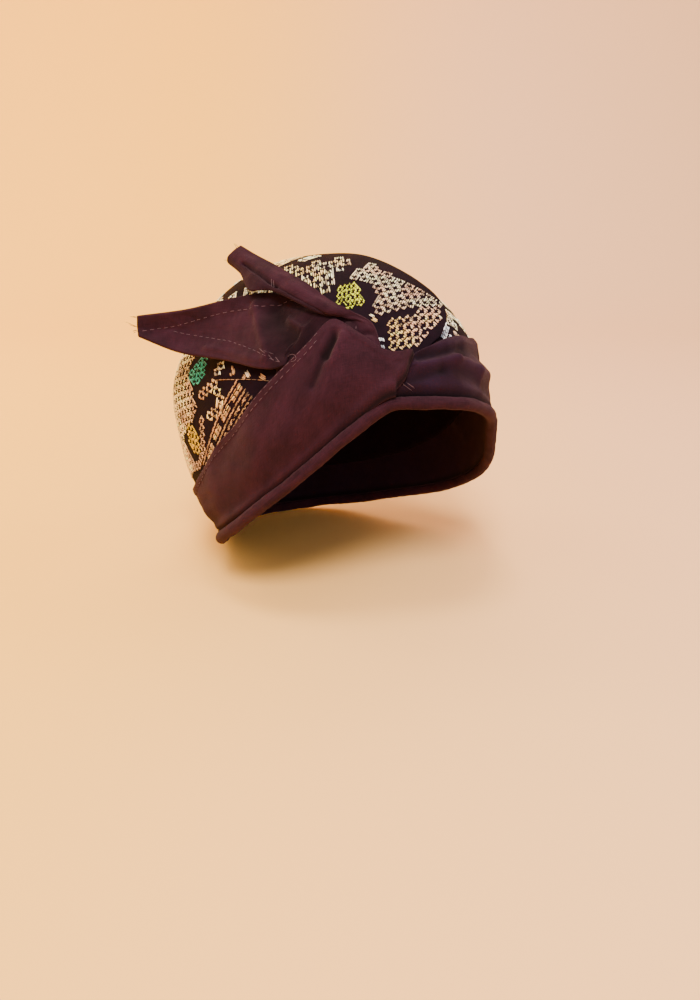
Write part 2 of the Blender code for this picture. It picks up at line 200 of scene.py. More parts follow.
# Fields of the brocade: centre (around, up), then the steps from an eyelet to its two neighbours, as
# (east, up) on the cloth. The floats run along the sum of the two steps.
FIELDS = {
    "top_right": ((-7.1, 56.3), (-3.83, 0.33), (-0.69, -3.36)),
    "lime": ((-28.1, 61.5), (2.18, 0.22), (-1.05, -3.63)),
    "top_left": ((-46.5, 76.4), (3.47, -4.08), (-2.04, -5.48)),
    "front": ((-9.9, 50.2), (3.77, -0.30), (-1.35, -3.52)),
    "side": ((-113.4, 26.1), (3.66, 1.85), (0.96, -3.53)),
    "teal": ((-108.6, 37.3), (4.2, 1.6), (0.5, -2.32)),
    "yellow": ((-108.2, 16.5), (4.4, 0.65), (0.63, -3.07)),
    "mini": ((-93.3, 39.7), (-2.12, -3.11), (4.52, -0.83)),
    "ring": ((-97.1, 34.5), (-3.82, -2.51), (3.66, -2.57)),
    "beyond": ((24.0, 50.0), (4.6, 0.6), (-1.2, -3.4)),
}

# Blocks of the brocade: field, two threads that it drifts between, how fast it drifts eastwards, and
# rows of eyelets as (row, first, last)
BLOCKS = [
    ("top_right", "cream", "rose", 0.0, [
        (0, -5, 3), (-1, -4, 3), (-2, -3, 2), (-3, -2, 2), (-4, -1, 2), (-5, 0, 2), (-6, 0, 3), (-7, 1, 4),
        (-8, 1, 3), (-9, 1, 1)]),
    ("lime", "lime", "lime", 0.0, [(-2, -3, 0), (-1, -3, 1), (0, -3, 1), (1, -1, 2)]),
    ("top_left", "cream", "gold", -0.4, [
        (-2, 1, 2), (-1, 1, 2), (0, -1, 1), (1, -1, 2), (2, -4, 2), (3, 0, 0)]),
    ("front", "gold", "rose", 1.0, [(-2, 2, 4), (-1, -2, 4), (0, -2, 3), (1, -2, 2), (2, -2, 1)]),
    ("side", "tan", "gold", -0.5, [
        (-8, -7, 0), (-7, -7, 1), (-6, -7, 0), (-5, -7, -1), (-4, -7, -1), (-3, -7, -1), (-2, -7, 0),
        (-1, -7, 1), (0, -7, 1), (1, -7, 2), (2, -7, 1), (3, -8, -2), (4, -8, -4), (5, -8, -4), (6, -8, -3),
        (7, -8, -2), (8, -8, -1), (9, -8, 2)]),
    ("side", "tan", "gold", -0.6, [(3, 4, 4), (4, 4, 4), (5, 4, 4), (6, 4, 4), (7, 3, 4), (8, 3, 3)]),
    ("teal", "teal", "teal", 0.0, [(-2, 0, 1), (-1, -1, 1), (0, -2, 1), (1, -2, 1), (2, -1, 0)]),
    ("yellow", "yellow", "yellow", 0.0, [(-1, -1, 0), (0, -1, 1), (1, -1, 1), (2, 0, 1)]),
    ("mini", "cream", "tan", 0.0, [(0, -1, 0)]),
    ("ring", "gold", "tan", -0.3, [(0, -1, 2), (1, -1, -1), (2, -1, -1), (3, 0, 2)]),
    ("beyond", "cream", "gold", 0.0, [
        (-2, -1, 0), (-1, -2, -1), (-1, 1, 1), (0, -1, -1), (0, 2, 4), (1, 3, 4)]),
]
EYELET_HOLE = 1       # steps from an eyelet's middle cell that stay bare
EYELET_RING = 2       # cells on each side of the middle that its floats reach
PERIOD = 6            # cells from an eyelet to the next one along a float
RAGGED = 0.27         # how unevenly the floats lie, in cells
RAGGED_MOST = 1.6     # the most that one is off, as a multiple of that
RAGGED_ASIDE = 0.4    # share of it by which a float lies beside its line
RAGGED_SLANT = np.array([-0.7, -0.4, 0.4, 0.7])   # and by which it slants, at its four stations
WORN_SHARE = 0.13     # share of the floats that have worn dark
WORN_DARK = 0.4       # what is left of a worn float's colour
LOST_SHARE = 0.02     # share of the floats that are missing
LEVEL = 2.0           # a float whose ends lie farther apart in height would leave the cloth
UNDER_BAND = 3.0      # how far floats go on under a band, in degrees
SONGKET_STAND = 3.0   # of the brocade over the form, for distances along it

# Medallions over the rest of the crown: centre (around, up) and the thread of the middle lozenge. Each
# has an eyelet lozenge, a bare ring and a net that ends halfway to the next medallion.
MEDALLIONS = [
    (-92, 66, "cream"), (-138, 44, "yellow"), (-140, 12, "teal"), (-172, 28, "lime"), (-170, 58, "teal"),
    (172, 0, "yellow"), (148, 34, "teal"), (143, 4, "lime"), (118, 46, "yellow"), (114, 14, "teal"),
    (92, 68, "lime"), (86, 36, "teal"), (60, 50, "yellow"), (52, 74, "teal"),
    (-140, 76, "gold"),
]
MEDALLION_STEPS = ((5.0, 0.6), (-0.6, -5.0))
LOZENGE = 2           # eyelets from a medallion's centre that have its own colour
BARE_RING = 4         # eyelets from its centre that are left out
MEDALLION_REACH = 8   # rows of eyelets that are tried on each side of its centre
PLAIN_MARGIN = 4.5    # half the bare cloth in millimetres between two medallions
BLOCK_MARGIN = 7.0    # from a float of a charted block to an eyelet's middle
CREST_MARGIN = 9.0    # bare cloth along the crest
BARE_ZONE = 34.0      # no eyelet of a medallion lies farther than this from its centre

# The striped border beside the right band: a guide line (around, up), then its picks as offset from
# the guide, float length, floats in a group, gap after a group, start, all in millimetres, and thread
BORDER_GUIDE = [(-77.5, 41.8), (-80.6, 38.3), (-87.2, 30.2), (-92.4, 22.4), (-96.6, 14.7), (-100, 8)]
BORDER_PICKS = [
    (0.0, 3.4, 9, 0.2, 5.4, "tan"), (0.5, 3.4, 9, 0.2, 6.6, "tan"),
    (2.2, 3.0, 3, 2.8, 5.6, "tan"), (2.75, 3.0, 1, 6.1, 5.4, "tan"), (3.3, 3.0, 3, 2.8, 5.9, "gold"),
    (3.85, 3.0, 2, 6.0, 8.8, "tan"), (4.4, 3.0, 3, 2.8, 5.4, "tan"), (4.95, 3.0, 3, 2.8, 5.7, "tan"),
    (6.8, 3.4, 9, 0.2, 4.6, "tan"), (7.3, 3.4, 9, 0.2, 5.8, "tan"),
    (9.0, 2.8, 2, 2.4, 4.4, "tan"), (9.55, 2.8, 2, 2.4, 5.3, "tan"), (10.1, 1.3, 1, 1.5, 4.8, "tan"),
    (11.8, 3.4, 9, 0.2, 4.0, "tan"), (12.4, 1.3, 1, 1.5, 4.4, "tan"),
]

BORDER_GAP = 0.25     # from one float of a group to the next, in millimetres
BORDER_PITCH = 0.6    # from one pick to the next

# Lone strokes of the brocade: thread, start and end (around, up), picks side by side, millimetres
# from one to the next
STROKES = [
    ("cream", (-23.2, 56.0), (-21.4, 55.0), 2, 0.7), ("gold", (-22.8, 54.8), (-20.8, 53.6), 3, 0.7),
    ("silver", (-21.9, 49.5), (-21.7, 48.3), 2, 0.8), ("silver", (-21.8, 47.6), (-21.7, 46.4), 2, 0.8),
    ("silver", (-20.9, 49.2), (-20.7, 48.0), 1, 0.8),
    ("silver", (12.6, 50.2), (3.8, 46.6), 5, 0.8), ("rose", (13.8, 48.0), (17.0, 45.7), 4, 0.8),
    ("silver", (8.6, 47.2), (10.6, 45.7), 3, 0.8),
    ("tan", (-96.2, 36.7), (-81.4, 38.9), 1, 0.34), ("tan", (-81.2, 38.9), (-64.8, 39.9), 1, 0.34),
    ("tan", (-84.2, 42.6), (-83.4, 41.2), 2, 0.7), ("tan", (-83.2, 41.8), (-82.2, 40.1), 3, 0.7),
    ("tan", (-84.4, 40.6), (-83.4, 39.6), 2, 0.7), ("rose", (-76.2, 41.8), (-74.2, 40.2), 3, 0.7),
    ("tan", (-77.4, 40.4), (-76.0, 39.6), 3, 0.7), ("tan", (-74.6, 41.4), (-73.4, 40.4), 1, 0.7),
    ("tan", (-69.6, 41.2), (-66.6, 40.3), 3, 0.7),
]

STROKE_FLOAT = 3.2    # length of one of a stroke's floats, in millimetres
STROKE_TRIM = 0.12    # bare cloth at each end of it
STROKE_STAGGER = 0.12  # how far every second pick lies ahead, as a share of a float

# Sewing on the free ends: lines of running stitch from tip to root, as shares along and across
SIDE_SEAMS = [
    [(1.0, 0.783), (0.93, 0.58), (0.86, 0.45), (0.727, 0.283), (0.58, 0.215), (0.443, 0.20), (0.36, 0.12),
     (0.28, 0.02)],
    [(0.857, 0.558), (0.743, 0.617), (0.617, 0.667), (0.473, 0.7), (0.353, 0.758), (0.26, 0.85),
     (0.14, 0.97)],
]

# Tacks and stray threads on the free ends: end, start and finish as shares along and across
TACKS = [
    ("up_end", (0.655, 0.40), (0.625, 0.56)), ("up_end", (0.640, 0.40), (0.612, 0.56)),
    ("up_end", (0.13, 0.62), (0.05, 0.70)), ("up_end", (0.05, 0.70), (0.02, 0.78)),
    ("side_end", (0.30, 0.76), (0.25, 0.84)), ("side_end", (0.27, 0.80), (0.22, 0.83)),
    ("side_end", (0.24, 0.84), (0.20, 0.92)), ("side_end", (0.21, 0.86), (0.17, 0.94)),
]

# Threads that tack the flap's corner to the left band: start and finish (around, up)
FLAP_TACKS = [((-19.4, 37.0), (-15.8, 34.9)), ((-17.6, 37.0), (-15.2, 35.3))]
# The loose loop of thread at the right band's hem: where it is sewn on (around, up), its radius, how
# far out and up its middle stands, how much wider it is than high, and how many twelfths of it show
LOOP_FOOT = (-54.5, 43.2)
LOOP_RADIUS = 1.6
LOOP_OUT = 0.6
LOOP_UP = 2.0
LOOP_WIDER = 1.15
LOOP_PARTS = 9

# Folds of the free ends: end, start and end as shares along and across, depth and half width in mm
TAIL_FOLDS = [
    ("side_end", (0.45, 0.16), (0.25, 0.84), 2.0, 2.0),
    ("side_end", (0.34, 0.18), (0.15, 0.74), -3.0, 4.2),
    ("side_end", (0.16, 0.34), (0.06, 0.48), -1.2, 4.0),
    ("side_end", (0.26, 0.30), (0.17, 0.52), 1.6, 1.2),
    ("side_end", (0.70, 0.52), (0.52, 0.40), 1.0, 5.0),
    ("side_end", (0.62, 0.86), (0.16, 0.95), 1.0, 2.4),
    ("side_end", (0.86, 0.05), (0.80, 0.40), 0.5, 1.3),
    ("side_end", (0.80, 0.04), (0.73, 0.26), -0.5, 1.3),
    ("side_end", (0.52, 0.02), (0.46, 0.16), -0.6, 1.6),
    ("up_end", (0.88, 0.43), (0.60, 0.52), -2.4, 0.9),
    ("up_end", (0.60, 0.52), (0.20, 0.56), -1.0, 0.9),
    ("up_end", (0.95, 0.25), (0.10, 0.28), 0.9, 3.4),
    ("up_end", (0.14, 0.1), (0.04, 0.95), -1.6, 1.1),
]

# Lines beyond which a free end is painted darker, as painted shade of its fold: end, start, end, amount
SHADES = [
    ("side_end", (0.45, 0.14), (0.24, 0.86), 0.42),
    ("up_end", (0.2, 0.55), (1.0, 0.45), 0.28),
]
GROOVE_TURN = 4.45    # where round the roll the band meets it and painted shade lies, in radians
WAVES = 7             # waves that are added up for uneven cloth

# Uneven cloth: size of the waves, seed and height, in millimetres
BAND_DRAPE = ((26, 11, 0.35), (9, 12, 0.10))
ROLL_WRINKLES = ((11, 21, 0.16), (4, 22, 0.07))
END_DRAPE = ((15, 31, 0.32), (5, 32, 0.10))
PUCKERS = ((3.2, 5, 0.10),)   # along the inner edge of a band's hem
PUCKER_WIDTH = 1.6
PUCKER_STRETCH = 5    # how much longer they are across the hem than along it
HEM_STEP = 0.8        # width over which a turned hem's edge rises
SEAM_PULL = 0.35      # how far a seam pulls a free end in, as a share of its hem, and how wide
SEAM_WIDTH = 0.5
EDGE_FLAT = 5.0       # width along a free end's edges over which its folds fade

# Painted shade in a band's folds and foot, round the roll and in the free ends' folds; painted highlight on
# ridges
PAINTED_SHADING_DEPTH = 2.6      # of a fold that is darkest
PAINTED_HIGHLIGHT_RIDGE = -0.6     # depth of a ridge that is lightest, as a share of that
PAINTED_SHADE_BAND = 0.8
FOOT_SHADE_AT = 1.2         # the painted shade line over the roll: height and half width in millimetres
FOOT_SHADE_WIDTH = 1.4
PAINTED_SHADE_ROLL = 0.7
GROOVE_WIDTH = 0.4    # in radians
PAINTED_SHADING_END = (0.22, 0.3)    # in the hollows and on the ridges of a free end
END_DEPTH = 2.5       # of its fold that is darkest
SHADE_EDGE = 3.0      # how soft a shade line is

# The roll: the lip of its last turn, in millimetres and radians round the roll
LIP_RISE = 0.22
LIP_AT = 1.2
LIP_RUN = 0.5         # over which it goes down
LIP_SUNK = 0.1        # how much thinner the roll is elsewhere
LAP = 6.28            # length of a circle by its radius, for wrinkles that meet where the ring closes

# Yarns and threads
YARN_PITCH = 0.0006   # of the drawn weave, in metres
SLUB_RATE = 0.12      # uneven places in a yarn for each of its widths
SHOULDER = 0.35       # height of a thread's sides, as a share of its rise
FLOAT_SINK = 0.06     # how far floats and stitches go into the cloth, in millimetres
STITCH_SINK = 0.1
SHADE_SPREAD = 0.24   # how much the floats differ in lightness, and in each of red, green and blue
TINT_SPREAD = 0.03
DYE_SPAN = 14         # millimetres over which a block's dye goes over into its second one
DYE_WAVES = ((17, 3, 0.45),)
FULL_FROM = 0.45      # cells from a float's ends to where it has its full width
LINE_STOPS = np.array([0, 0.18, 0.82, 1])[:, None]    # stations of a border's or stroke's float, as shares
STITCH_STOPS = np.array([0, 0.2, 0.8, 1.0])   # a stitch's four stations, as shares of its length
STITCH_RISE = 0.75    # of a stitch, as a share of its width
STITCH_WANDER = 0.18  # how unevenly stitches are spaced, in millimetres, and leave their line, in rows
ROW_WANDER = 0.06
HEM_ROW = 1.5         # from a band's edge to its first row of stitches
SECOND_ROW = 0.9      # from the turned hem's inner edge to the second one
TAIL_BOW = 0.6        # how much of a free end's bow is round, the rest being folded
FRAYS = 9             # loose yarns at a free end's cut edge
FRAY_LENGTH = 4.4
WALLS = {}            # outer and inner grids of the sewn pieces, with their column and row measures

# The photograph's viewpoint, in metres, and its lens for a 36 mm long side
CAMERA_AT = (-0.3012, -0.3659, 0.1593)
CAMERA_AIM = (0.600, 0.715, -0.358)
CAMERA_LENS = 32.4

# The backdrop's sheet of paper, in millimetres: how far it comes forward, where it starts to curve up
# and how tightly, its top, half its width, and the angle at which it stands, in degrees
STAGE_FRONT = -1500
SWEEP_FROM = 700
SWEEP_RADIUS = 600
STAGE_TOP = 3000
STAGE_HALF = 3000
STAGE_TURN = -40.0

# Studio lights: name, place and target in metres, size in metres, power in watts, colour
CLOTH = (0.0, 0.0, 0.03)
LIGHTS = [
    ("key", (-0.75, -0.8, 1.25), CLOTH, 0.45, 45, (1.0, 0.91, 0.82)),
    ("top", (-0.2, -0.1, 1.35), CLOTH, 0.35, 13, (1.0, 0.94, 0.84)),
    ("front_fill", (-0.5, -1.6, 0.7), CLOTH, 1.2, 12, (1.0, 0.95, 0.94)),
    ("cool_right", (1.2, -0.7, 1.1), CLOTH, 0.8, 11, (0.86, 0.92, 1.0)),
    ("paper_right", (0.9, 0.9, 1.4), (0.6, 1.2, 0.0), 1.2, 20, (1.0, 0.88, 0.78)),
    ("paper_left", (-0.4, 0.75, 0.75), (0.1, 1.3, -0.05), 0.6, 16, (1.0, 0.82, 0.48)),
    ("warm_left", (-1.5, 0.3, 0.8), CLOTH, 0.9, 10, (1.0, 0.84, 0.60)),
]
AIR_COLOUR = (1.0, 0.86, 0.74)
AIR_STRENGTH = 0.35


def linear(colour):
    """An sRGB hex colour as linear red, green and blue."""
    parts = [int(colour[k:k + 2], 16) / 255 for k in (1, 3, 5)]
    return tuple(((c + 0.055) / 1.055) ** 2.4 if c > 0.04045 else c / 12.92 for c in parts)


def length_property(name, description, metres):
    """A length that a user may change."""
    return bpy.props.FloatProperty(name=name, description=description, default=metres, unit="LENGTH")


def colour_property(name, description, colour):
    """A colour that a user may change."""
    return bpy.props.FloatVectorProperty(
        name=name, description=description, subtype="COLOR", size=3, default=linear(colour))


class ClothSizes(bpy.types.PropertyGroup):
    """Sizes of the threads and seams."""

    float_share: bpy.props.FloatProperty(
        name="Float share", description="Share of the space between picks that a thread fills",
        default=0.74, subtype="FACTOR")
    float_rise: length_property("Float rise", "How far a float stands above the cloth", 0.0005)
    tie_gap: length_property("Tie gap", "Gap where a warp thread ties a float down", 0.0002)
    hem_width: length_property("Hem width", "Width of the turned hem", 0.0042)
    hem_rise: length_property("Hem rise", "How much thicker the turned hem is", 0.00045)
    stitch_length: length_property("Stitch length", "Length of one running stitch", 0.0026)
    stitch_gap: length_property("Stitch gap", "Gap from one stitch to the next", 0.0011)
    stitch_width: length_property("Stitch width", "Width of the sewing thread", 0.00021)
    floor_level: length_property("Floor level", "Height of the floor", -0.0575)


class ClothColours(bpy.types.PropertyGroup):
    """Colours of the cloth, its threads and the stage."""

    cotton: colour_property("Cotton", "Plain cotton of the bands", "#331621")
    cotton_deep: colour_property("Deep cotton", "The darker yarns of the plain cotton", "#1a0810")
    # Painted shade: a darker, cooler copy of the band cotton for the left band, which lies turned from the
    # light.
    cotton_painted_shade: colour_property("Purple cotton", "The cooler dye of the left band", "#1e0e20")
    ground: colour_property("Brocade ground", "Ground cloth of the brocade", "#170612")
    ground_deep: colour_property("Deep ground", "Darker yarns of the brocade's ground", "#0b0308")
    stitch: colour_property("Stitch", "Sewing thread", "#553840")
    yarn: colour_property("Yarn", "Loose yarns", "#3c1c26")
    cream: colour_property("Cream", "Cream floats", "#fff2c8")
    gold: colour_property("Gold", "Old gold floats", "#ffd080")
    tan: colour_property("Tan", "Tan floats of the side", "#c08c5a")
    rose: colour_property("Rose", "Rose floats", "#f8c8a2")
    silver: colour_property("Silver", "Cool grey floats", "#e8ecf6")
    lime: colour_property("Lime", "Lime floats", "#f0fa18")
    teal: colour_property("Teal", "Teal floats", "#2ab490")
    yellow: colour_property("Yellow", "Yellow floats", "#d2a200")
    stage: colour_property("Stage", "Floor and backdrop", "#ecb88c")
    # Painted light: the stage's warmer, brighter left side stands in for a pool of warm light there.
    stage_painted_light: colour_property("Warm stage", "The stage's warmer left side", "#ffbe48")


def smooth_step(x):
    """An even rise from 0 to 1, level at both ends."""
    x = np.clip(x, 0.0, 1.0)
    return x * x * (3 - 2 * x)


def hill(x, width, middle=0.0):
    """A round hill of height 1 about a middle."""
    return np.exp(-(((x - middle) / width) ** 2))


def ray(around, up):
    """Unit directions from the origin at two angles."""
    a, e = np.broadcast_arrays(np.radians(around), np.radians(up))
    return np.stack([np.sin(a) * np.cos(e), -np.cos(a) * np.cos(e), np.sin(e)], axis=-1)


def unit(vectors):
    """Vectors at length 1."""
    return vectors / np.linalg.norm(vectors, axis=-1, keepdims=True)


def angles_of(direction):
    """The two angles of directions, as ray takes them."""
    around = np.degrees(np.arctan2(direction[..., 0], -direction[..., 1]))
    up = np.degrees(np.arctan2(direction[..., 2], np.hypot(direction[..., 0], direction[..., 1])))
    return around, up


def form_reach(direction):
    """Distance from the origin to the form under the cloth, along directions."""
    around, up = angles_of(direction)
    x, y, z = direction[..., 0], direction[..., 1], direction[..., 2]
    height = np.where(z >= 0, FORM_HEIGHT, FORM_DEPTH)
    plan = (2 * x / FORM_WIDTH) ** 2 + (2 * y / FORM_LENGTH) ** 2
    solid = plan ** (BOXINESS / 2) + np.abs(z / height) ** BOXINESS
    beside = (np.abs(around) - SIDE_AT[0]) / SIDE_SPREAD[0]
    above = (up - SIDE_AT[1]) / SIDE_SPREAD[1]
    side = SIDE_HOLLOW * np.exp(-(beside ** 2) - above ** 2)
    side = side * smooth_step((90 - up) / CROWN_SOFTENING)
    back = BACK_HOLLOW * smooth_step((BACK_FROM[1] - up) / BACK_SPAN[1])
    back = back * smooth_step((np.abs(around) - BACK_FROM[0]) / BACK_SPAN[0])
    return solid ** (-1 / BOXINESS) - side - back


def lean(points):
    """The form leans back towards its top."""
    leaned = np.array(points)
    leaned[..., 1] += LEAN_BACK * np.maximum(leaned[..., 2] / FORM_HEIGHT, 0) ** 2
    return leaned


def unlean(points):
    """Points as they stand before the form leans back."""
    upright = np.array(points)
    upright[..., 1] -= LEAN_BACK * np.maximum(upright[..., 2] / FORM_HEIGHT, 0) ** 2
    return upright


def on_form(direction, stand):
    """Points in millimetres at a stand outside the form."""
    return lean(direction * (form_reach(direction) + stand)[..., None])


def row_at(table, at):
    """Values of a table's other columns at values of its first, on smooth curves through its rows."""
    rows = np.array(table, float)
    x = rows[:, 0]
    y = rows[:, 1:]
    before = np.maximum(np.arange(len(x)) - 1, 0)
    after = np.minimum(np.arange(len(x)) + 1, len(x) - 1)
    slope = (y[after] - y[before]) / (x[after] - x[before])[:, None]
    slope[(y - y[before]) * (y[after] - y) < 0] = 0
    at = np.asarray(at, float)
    i = np.clip(np.searchsorted(x, at, side="right") - 1, 0, len(x) - 2)
    span = (x[i + 1] - x[i])[..., None]
    t = np.clip((at[..., None] - x[i][..., None]) / span, 0, 1)
    bend = slope[i] * t * (1 - t) ** 2 - slope[i + 1] * t * t * (1 - t)
    return y[i] + (y[i + 1] - y[i]) * smooth_step(t) + span * bend


def curve_through(points, t):
    """Catmull-Rom curve through points, t from 0 to 1."""
    last = len(points) - 1
    i = np.minimum((t * last).astype(int), last - 1)
    s = (t * last - i)[..., None]
    p = [points[np.clip(i + k, 0, last)] for k in (-1, 0, 1, 2)]
    return 0.5 * (
        2 * p[1]
        + (p[2] - p[0]) * s
        + (2 * p[0] - 5 * p[1] + 4 * p[2] - p[3]) * s * s
        + (3 * p[1] - 3 * p[2] + p[3] - p[0]) * s ** 3
    )


def bulge(direction):
    """How far the soft bulges lift the cloth."""
    total = np.zeros(direction.shape[:-1])
    for around, up, height, spread in BULGES:
        apart = np.degrees(np.arccos(np.clip(direction @ ray(around, up), -1, 1)))
        total = total + height * hill(apart, spread)
    return total


def apart_from(points, a, b):
    """Distance of points from the line between a and b."""
    along = (points - a) @ (b - a) / ((b - a) @ (b - a))
    nearest = a + (b - a) * np.clip(along, 0, 1)[..., None]
    return np.linalg.norm(points - nearest, axis=-1)


def fold_depth(piece, direction):
    """How far a piece's folds push its cloth in."""
    total = np.zeros(direction.shape[:-1])
    for name, start, end, depth, half_width in FOLDS:
        if name == piece:
            apart = np.degrees(apart_from(direction, ray(*start), ray(*end)))
            total = total + depth * hill(apart, half_width)
    return total


def lengths_along(points):
    """Distance along each chain of points, down the rows, from its first point to each of them."""
    steps = np.linalg.norm(np.diff(points, axis=0), axis=-1)
    return np.concatenate([np.zeros((1, *steps.shape[1:])), np.cumsum(steps, axis=0)])


def unevenness(points, size, seed):
    """Soft random rise and fall between about -1 and 1, with waves of about one size."""
    chance = np.random.default_rng(seed)
    total = np.zeros(points.shape[:-1])
    for _ in range(WAVES):
        wave = unit(chance.normal(size=points.shape[-1])) * chance.uniform(0.7, 1.5) * 2 * math.pi / size
        total += np.sin(points @ wave + chance.uniform(0, 2 * math.pi))
    return total / math.sqrt(WAVES)


def drape(points, waves):
    """Uneven cloth from waves, each given by its size, seed and height."""
    return sum(height * unevenness(points, size, seed) for size, seed, height in waves)


def new_piece(name, points, faces, material):
    """An object at the origin from points in millimetres."""
    mesh = bpy.data.meshes.new(name)
    mesh.from_pydata((np.asarray(points) * MM).tolist(), [], faces)
    mesh.materials.append(material)
    mesh.shade_smooth()
    piece = bpy.data.objects.new(name, mesh)
    bpy.context.scene.collection.objects.link(piece)
    return piece


def finish_cloth(piece, places, painted_shading):
    """Keep each corner's place on the cloth laid flat, turn the faces outwards, and keep each point's
    painted shading: how much lighter or darker it is painted, as a share."""
    mesh = piece.data
    layer = mesh.uv_layers.new(name="Cloth")
    layer.data.foreach_set("uv", (places * MM).astype(np.float32).reshape(-1))
    bm = bmesh.new()
    bm.from_mesh(mesh)
    bmesh.ops.recalc_face_normals(bm, faces=bm.faces)
    bm.to_mesh(mesh)
    bm.free()
    layer = mesh.attributes.new("painted_shading", "FLOAT", "POINT")
    layer.data.foreach_set("value", np.asarray(painted_shading, np.float32).reshape(-1))


def closed_cloth(name, outer, inner, flat, material, painted_shading=0.0):
    """A closed wall of cloth between two grids of points, which meet along their edges. Flat holds each
    point's place on the cloth laid flat, in millimetres, for the weave."""
    rows, columns = outer.shape[:2]
    points = np.concatenate([outer.reshape(-1, 3), inner.reshape(-1, 3)])
    index = np.arange(rows * columns).reshape(rows, columns)
    quads = np.stack([index[:-1, :-1], index[:-1, 1:], index[1:, 1:], index[1:, :-1]], -1).reshape(-1, 4)
    faces = np.concatenate([quads, quads[:, ::-1] + rows * columns])
    _, first, weld = np.unique(np.round(points * 1e5).astype(np.int64), axis=0, return_index=True,
                               return_inverse=True)
    weld = weld.reshape(-1)
    polygons = []
    corners = []
    for old, new in zip(faces.tolist(), weld[faces].tolist()):
        keep = [k for k in range(4) if new[k] != new[k - 1]]
        if len(set(new[k] for k in keep)) > 2:
            polygons.append([new[k] for k in keep])
            corners += [old[k] for k in keep]
    piece = new_piece(name, points[first], polygons, material)
    painted_shading = np.broadcast_to(painted_shading, (rows, columns)).reshape(-1)
    places = np.concatenate([flat.reshape(-1, 2)] * 2)[corners]
    finish_cloth(piece, places, np.concatenate([painted_shading] * 2)[first])
    return piece


def laid_flat(points):
    """Each grid point's distance along its row and its column, in millimetres."""
    along = lengths_along(points[points.shape[0] // 2])
    down = lengths_along(points)
    down = down - down[down.shape[0] // 2]
    return np.stack([np.broadcast_to(along, down.shape), down], axis=-1)


def eased(count):
    """Steps from 0 to 1 that crowd towards both ends, where an edge is rounded."""
    return 0.5 - 0.5 * np.cos(np.linspace(0, math.pi, count + 1))


def edge_drop(distance, radius):
    """How far a rounded edge falls away at a distance from the edge."""
    inside = np.clip(1 - distance / radius, 0, 1)
    return radius * (1 - np.sqrt(1 - inside ** 2))


def join_edges(outer, inner):
    """Make both faces of a wall meet along its four edges."""
    middle = (outer + inner) / 2
    for edge in (np.s_[0], np.s_[-1], np.s_[:, 0], np.s_[:, -1]):
        outer[edge] = middle[edge]
        inner[edge] = middle[edge]


def add(tree, kind, links=(), **settings):
    """Add a node with its settings, and link its inputs from other nodes' outputs."""
    node = tree.nodes.new(kind)
    for key, value in settings.items():
        setattr(node, key, value)
    for name, source in dict(links).items():
        socket = node.inputs[name]
        if isinstance(source, bpy.types.NodeSocket):
            tree.links.new(source, socket)
        else:
            socket.default_value = source
    return node


def blank(name):
    """A material with an empty node tree."""
    material = bpy.data.materials.new(name)
    material.use_nodes = True
    tree = material.node_tree
    tree.nodes.clear()
    return material, tree


def plain_weave(tree, place):
    """Height of a plain weave: two sets of yarns, over and under each other."""
    across = add(tree, "ShaderNodeSeparateXYZ", {"Vector": place})
    waves = []
    for axis in ("X", "Y"):
        turn = add(tree, "ShaderNodeMath", {0: across.outputs[axis], 1: math.pi / YARN_PITCH},
                   operation="MULTIPLY")
        waves.append(add(tree, "ShaderNodeMath", {0: turn.outputs[0]}, operation="SINE").outputs[0])
    checks = add(tree, "ShaderNodeMath", {0: waves[0], 1: waves[1]}, operation="MULTIPLY").outputs[0]
    return add(tree, "ShaderNodeMath", {0: checks}, operation="ABSOLUTE").outputs[0]


